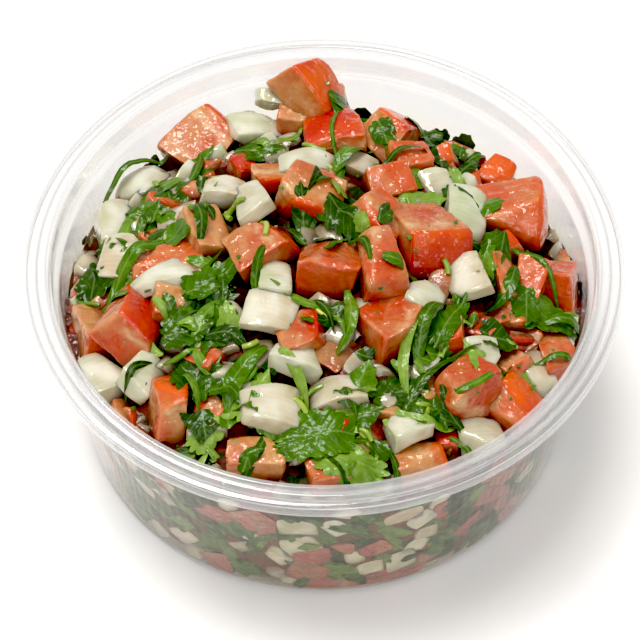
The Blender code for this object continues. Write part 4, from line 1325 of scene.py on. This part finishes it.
def buildMash(settings):
    # Closed solid: the floor, rings up the wall that reach into it by reachIn, and the top, at
    # coreLevel - sink + relief (bumps of the first pitch + 0.7 bumps of the second)
    a = np.linspace(0, math.tau, settings["sides"], endpoint=False)
    circle = np.stack((np.cos(a), np.sin(a)), 1)
    base, corner = tubSizes["baseRadius"], tubSizes["cornerRadius"]
    floor = tubSizes["wall"] + 0.5 - settings["reachIn"]
    wallTop = coreLevel(*(circle * tubInside(heap["back"])).T)
    rings = [np.column_stack((circle * (base - corner), np.full(len(a), floor)))]
    for t in np.linspace(0, 1, settings["wallRings"]):
        z = corner - 0.4 + t * (wallTop - corner + 0.4)
        edge = tubInside(z) + settings["reachIn"] - 0.5 * (z < 3)
        rings.append(np.column_stack((circle * edge[:, None], z)))
    coarse, fine = settings["reliefPitches"]
    for s in np.linspace(1, 0, settings["topRings"], endpoint=False)[1:]:
        flat = np.column_stack((circle * tubInside(heap["back"]) * s, 0 * a))
        rough = settings["relief"] * (bumps(flat, coarse) + 0.7 * bumps(flat, fine))
        flat[:, 2] = coreLevel(flat[:, 0], flat[:, 1]) + rough - settings["sink"]
        rings.append(flat)
    points = np.vstack(rings + [((0, 0, floor), (0, 0, coreLevel(0.0, 0.0)))])
    batch = Batch("wetMash", ("wall",))
    atWall = np.arange(len(points)) < (settings["wallRings"] + 1) * len(a)
    batch.add(points, cappedFaces(len(rings), len(a)), wall=atWall)
    batch.build(wetMash(), "salsa", "salsa_heap")


wallLayer = {
    "fine": 8,
    "rows": 7,
    "pitchUp": 4.8,
    "pitchAround": 6.6,
    "jitter": 0.35,            # most that a piece is off its place, as a share of the pitch
    "lowest": 1.6,             # of any piece, just over the floor
    "midHeight": 20.0,         # where the way round the wall is measured
    "smallest": (5.0, 5.0, 4.5),       # length round the wall, depth and height of a piece
    "largest": (10.5, 7.0, 8.5),
    "spin": 60.0,              # most turn to either side, in degrees
    "depths": (-0.85, -0.2),   # of a piece's middle, out from the wall, as a share of half its own depth
    "reachIn": (0.13, 0.34),   # how far the pieces reach into the wall
    "shares": (0.29, 0.60),    # tomato below the first, onion below the second, leaf above
    "crisp": 6.5,
    "softEdge": 0.5,           # pieces are painted darker, juice and shade, where pressed less than this
    "ripe": (0.4, 1.3),
    "onionSize": 0.85,         # compared with tomato
    "onionStain": (0.0, 0.35),
    "leafSizes": (2.6, 2.2),   # length and width, compared with half of a die's
    "leafShades": (0.1, 0.95),
    "leafWave": 0.25,
    "leafGrid": (3, 30),
    "scraps": 230,
    "scrapHeights": (3.0, 33.0),
    "scrapSizes": (2.5, 10.0),
}


def fadeAtWall(points, reachIn):
    # 0 where a piece is pressed well against the wall, 1 where it just touches it
    return np.clip(1 - (points[:, 1] - reachIn) / wallLayer["softEdge"], 0, 1)


def onWall(points, angle, z, reachIn):
    # Bend a piece round the wall: x runs round it, y outwards from it, z up it, no lower than the floor
    up = np.maximum(points[:, 2] + z, wallLayer["lowest"])
    radius = np.minimum(tubInside(up) + points[:, 1], tubInside(up) + reachIn)
    turned = angle + points[:, 0] / tubInside(up)
    return np.column_stack((radius * np.cos(turned), radius * np.sin(turned), up))


def heapAtWall(angle):
    # The dome's level at the wall, at an angle round the tub
    reach = tubInside(wallLayer["midHeight"])
    return dome(reach * math.cos(angle), reach * math.sin(angle))


def layOnWall(angle, z, length, width, draw):
    # A wavy leaf turned about the wall's normal and pressed against it
    w = wallLayer
    cuts, phase = randomCuts(draw, 2), draw.uniform(0, 9)
    sheet, faces = leafSheet(length, width, cuts, 0.0, 0.0, w["leafWave"], phase, *w["leafGrid"])
    spin = draw.uniform(0, math.tau)
    c, s = math.cos(spin), math.sin(spin)
    points = np.column_stack((sheet[:, 0] * c - sheet[:, 1] * s, sheet[:, 2] + draw.uniform(0.1, 0.5),
                              sheet[:, 0] * s + sheet[:, 1] * c))
    reachIn, shade = draw.uniform(*w["reachIn"]), draw.uniform(*w["leafShades"])
    # buried here sets juice with painted shade: darker still where the leaf is pressed less against the wall
    leavesAtWall.add(onWall(points, angle, z, reachIn), faces, across=sheet[:, 0],
                     along=sheet[:, 1] + 0.5 * length, shade=shade,
                     buried=1.5 + 0.8 * fadeAtWall(points, reachIn))


def pressOnWall(kind, half, angle, z, turn, reachIn, draw):
    # A tomato die, an onion die or a leaf, as the kind falls among the shares, turned and bent to the wall
    w = wallLayer
    grid, faces = fineGrids[w["fine"]]
    shift = (0.0, draw.uniform(*w["depths"]) * half[1], 0.0)
    matrix = turning(0, turn, 0).T
    if kind < w["shares"][0]:
        points, depth, edge = shapeTomato(grid, half, knifeCuts(half, draw), "", draw, w["crisp"])
        points = points @ matrix + shift
        # buried sets juice with painted shade, darker where pressed less; up at 0.55 gives half the foot
        # shade
        ripe, buried = draw.uniform(*w["ripe"]), 0.5 + 0.5 * fadeAtWall(points, reachIn)
        tomatoesAtWall.add(onWall(points, angle, z, reachIn), faces, depth=depth, ripe=ripe, gel=0.0, up=0.55,
                           buried=buried, edge=0.5 * edge)
    elif kind < w["shares"][1]:
        half = w["onionSize"] * half
        points, grain, edge = shapeOnion(grid, half, knifeCuts(half, draw), draw, w["crisp"])
        points = points @ matrix + shift
        tint = draw.uniform()
        # a random stain, plus painted shade where the onion is pressed less against the wall
        buried = draw.uniform(*w["onionStain"]) + 0.6 * fadeAtWall(points, reachIn)
        onionsAtWall.add(onWall(points, angle, z, reachIn), faces, grain=grain, tint=tint, up=0.5,
                         buried=buried, edge=0.5 * edge)
    else:
        layOnWall(angle, z, w["leafSizes"][0] * half[0], w["leafSizes"][1] * half[2], draw)


def layAgainstWall(draw):
    # Rows of pieces pressed flat against the clear wall, from the floor up to the heap's edge. Each reaches
    # its own little way into the wall, so that no two flat sides share a surface.
    w = wallLayer
    jitter, spin = w["jitter"], w["spin"]
    around = int(math.tau * tubInside(w["midHeight"]) / w["pitchAround"])
    for row in range(w["rows"]):
        for k in range(around):
            angle = (k + 0.5 * (row % 2) + draw.uniform(-jitter, jitter)) / around * math.tau
            z = w["lowest"] + (row + 0.5 + draw.uniform(-jitter, jitter)) * w["pitchUp"]
            half = 0.5 * draw.uniform(w["smallest"], w["largest"])
            kind, turn, reachIn = draw.uniform(), draw.uniform(-spin, spin), draw.uniform(*w["reachIn"])
            if z + half[2] <= heapAtWall(angle) - 0.5:
                pressOnWall(kind, half, angle, z, turn, reachIn, draw)
    for _ in range(w["scraps"]):
        angle, z = draw.uniform(0, math.tau), draw.uniform(*w["scrapHeights"])
        if z < heapAtWall(angle) - 2:
            size = draw.uniform(*w["scrapSizes"])
            layOnWall(angle, z, size, size * draw.uniform(0.4, 0.9), draw)


def buildSalsa():
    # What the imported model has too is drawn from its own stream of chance, in the model's order.
    draw = np.random.default_rng(heap["seed"])
    own = np.random.default_rng(heap["seed"] + 1)     # for what only shows here
    heights = HeightMap()
    for row in tomatoDice["rows"]:
        layDice(row, draw, own, tomatoDice["coarse"], tomatoDice["fine"], heights, tomato=True)
    scatterScraps(scraps["count"] // 3, own, heights.smooth(1), scraps["underLift"])
    for row in onionDice["rows"]:
        layDice(row, draw, own, onionDice["coarse"], onionDice["fine"], heights, tomato=False)
    fillGaps(draw, own, heights)
    level = heights.smooth(3)
    addCrumbs(own, heights)
    wet = heights.smooth(2)
    scatterBunches(own, wet)
    scatterScraps(scraps["count"], own, wet, scraps["lift"])
    for x, y, length, width, turn, shade in leafForm["rows"]:
        cuts = randomCuts(own, *leafForm["cuts"])
        layLeaf(x, y, length, width, turn - 90, shade, own, level, leafForm["lift"], (0, 0), cuts,
                *leafForm["grid"])
    for row in ribbons["rows"]:
        layStrip(row, own, level, leaves, **ribbons["rowForm"])
    scatterStrips(ribbons, own, wet, leaves)
    scatterStrips(cutStems, own, wet, stems)
    scatterFlecks(specks, own, heights)
    layAgainstWall(own)
    print("salsa laid:", len(tomatoes.faces), "bits of tomato,", len(onions.faces), "of onion,",
          len(leaves.faces), "of leaf")
    kinds = (((tomatoes, tomatoesAtWall), wetTomato()), ((onions, onionsAtWall), clearOnion()),
             ((leaves, leavesAtWall), herbLeaf()), ((stems,), herbStem("herbStem")),
             ((flecks,), herbStem("herbFleck")))
    for batches, material in kinds:
        for batch in batches:
            batch.build(material, "salsa", "salsa_heap")
    buildMash(mash)


addCamera(cameraView)
addStudio(studio)
addFloor(studio)
print("camera, floor and lights placed")
buildTub(tubSizes)
buildSalsa()
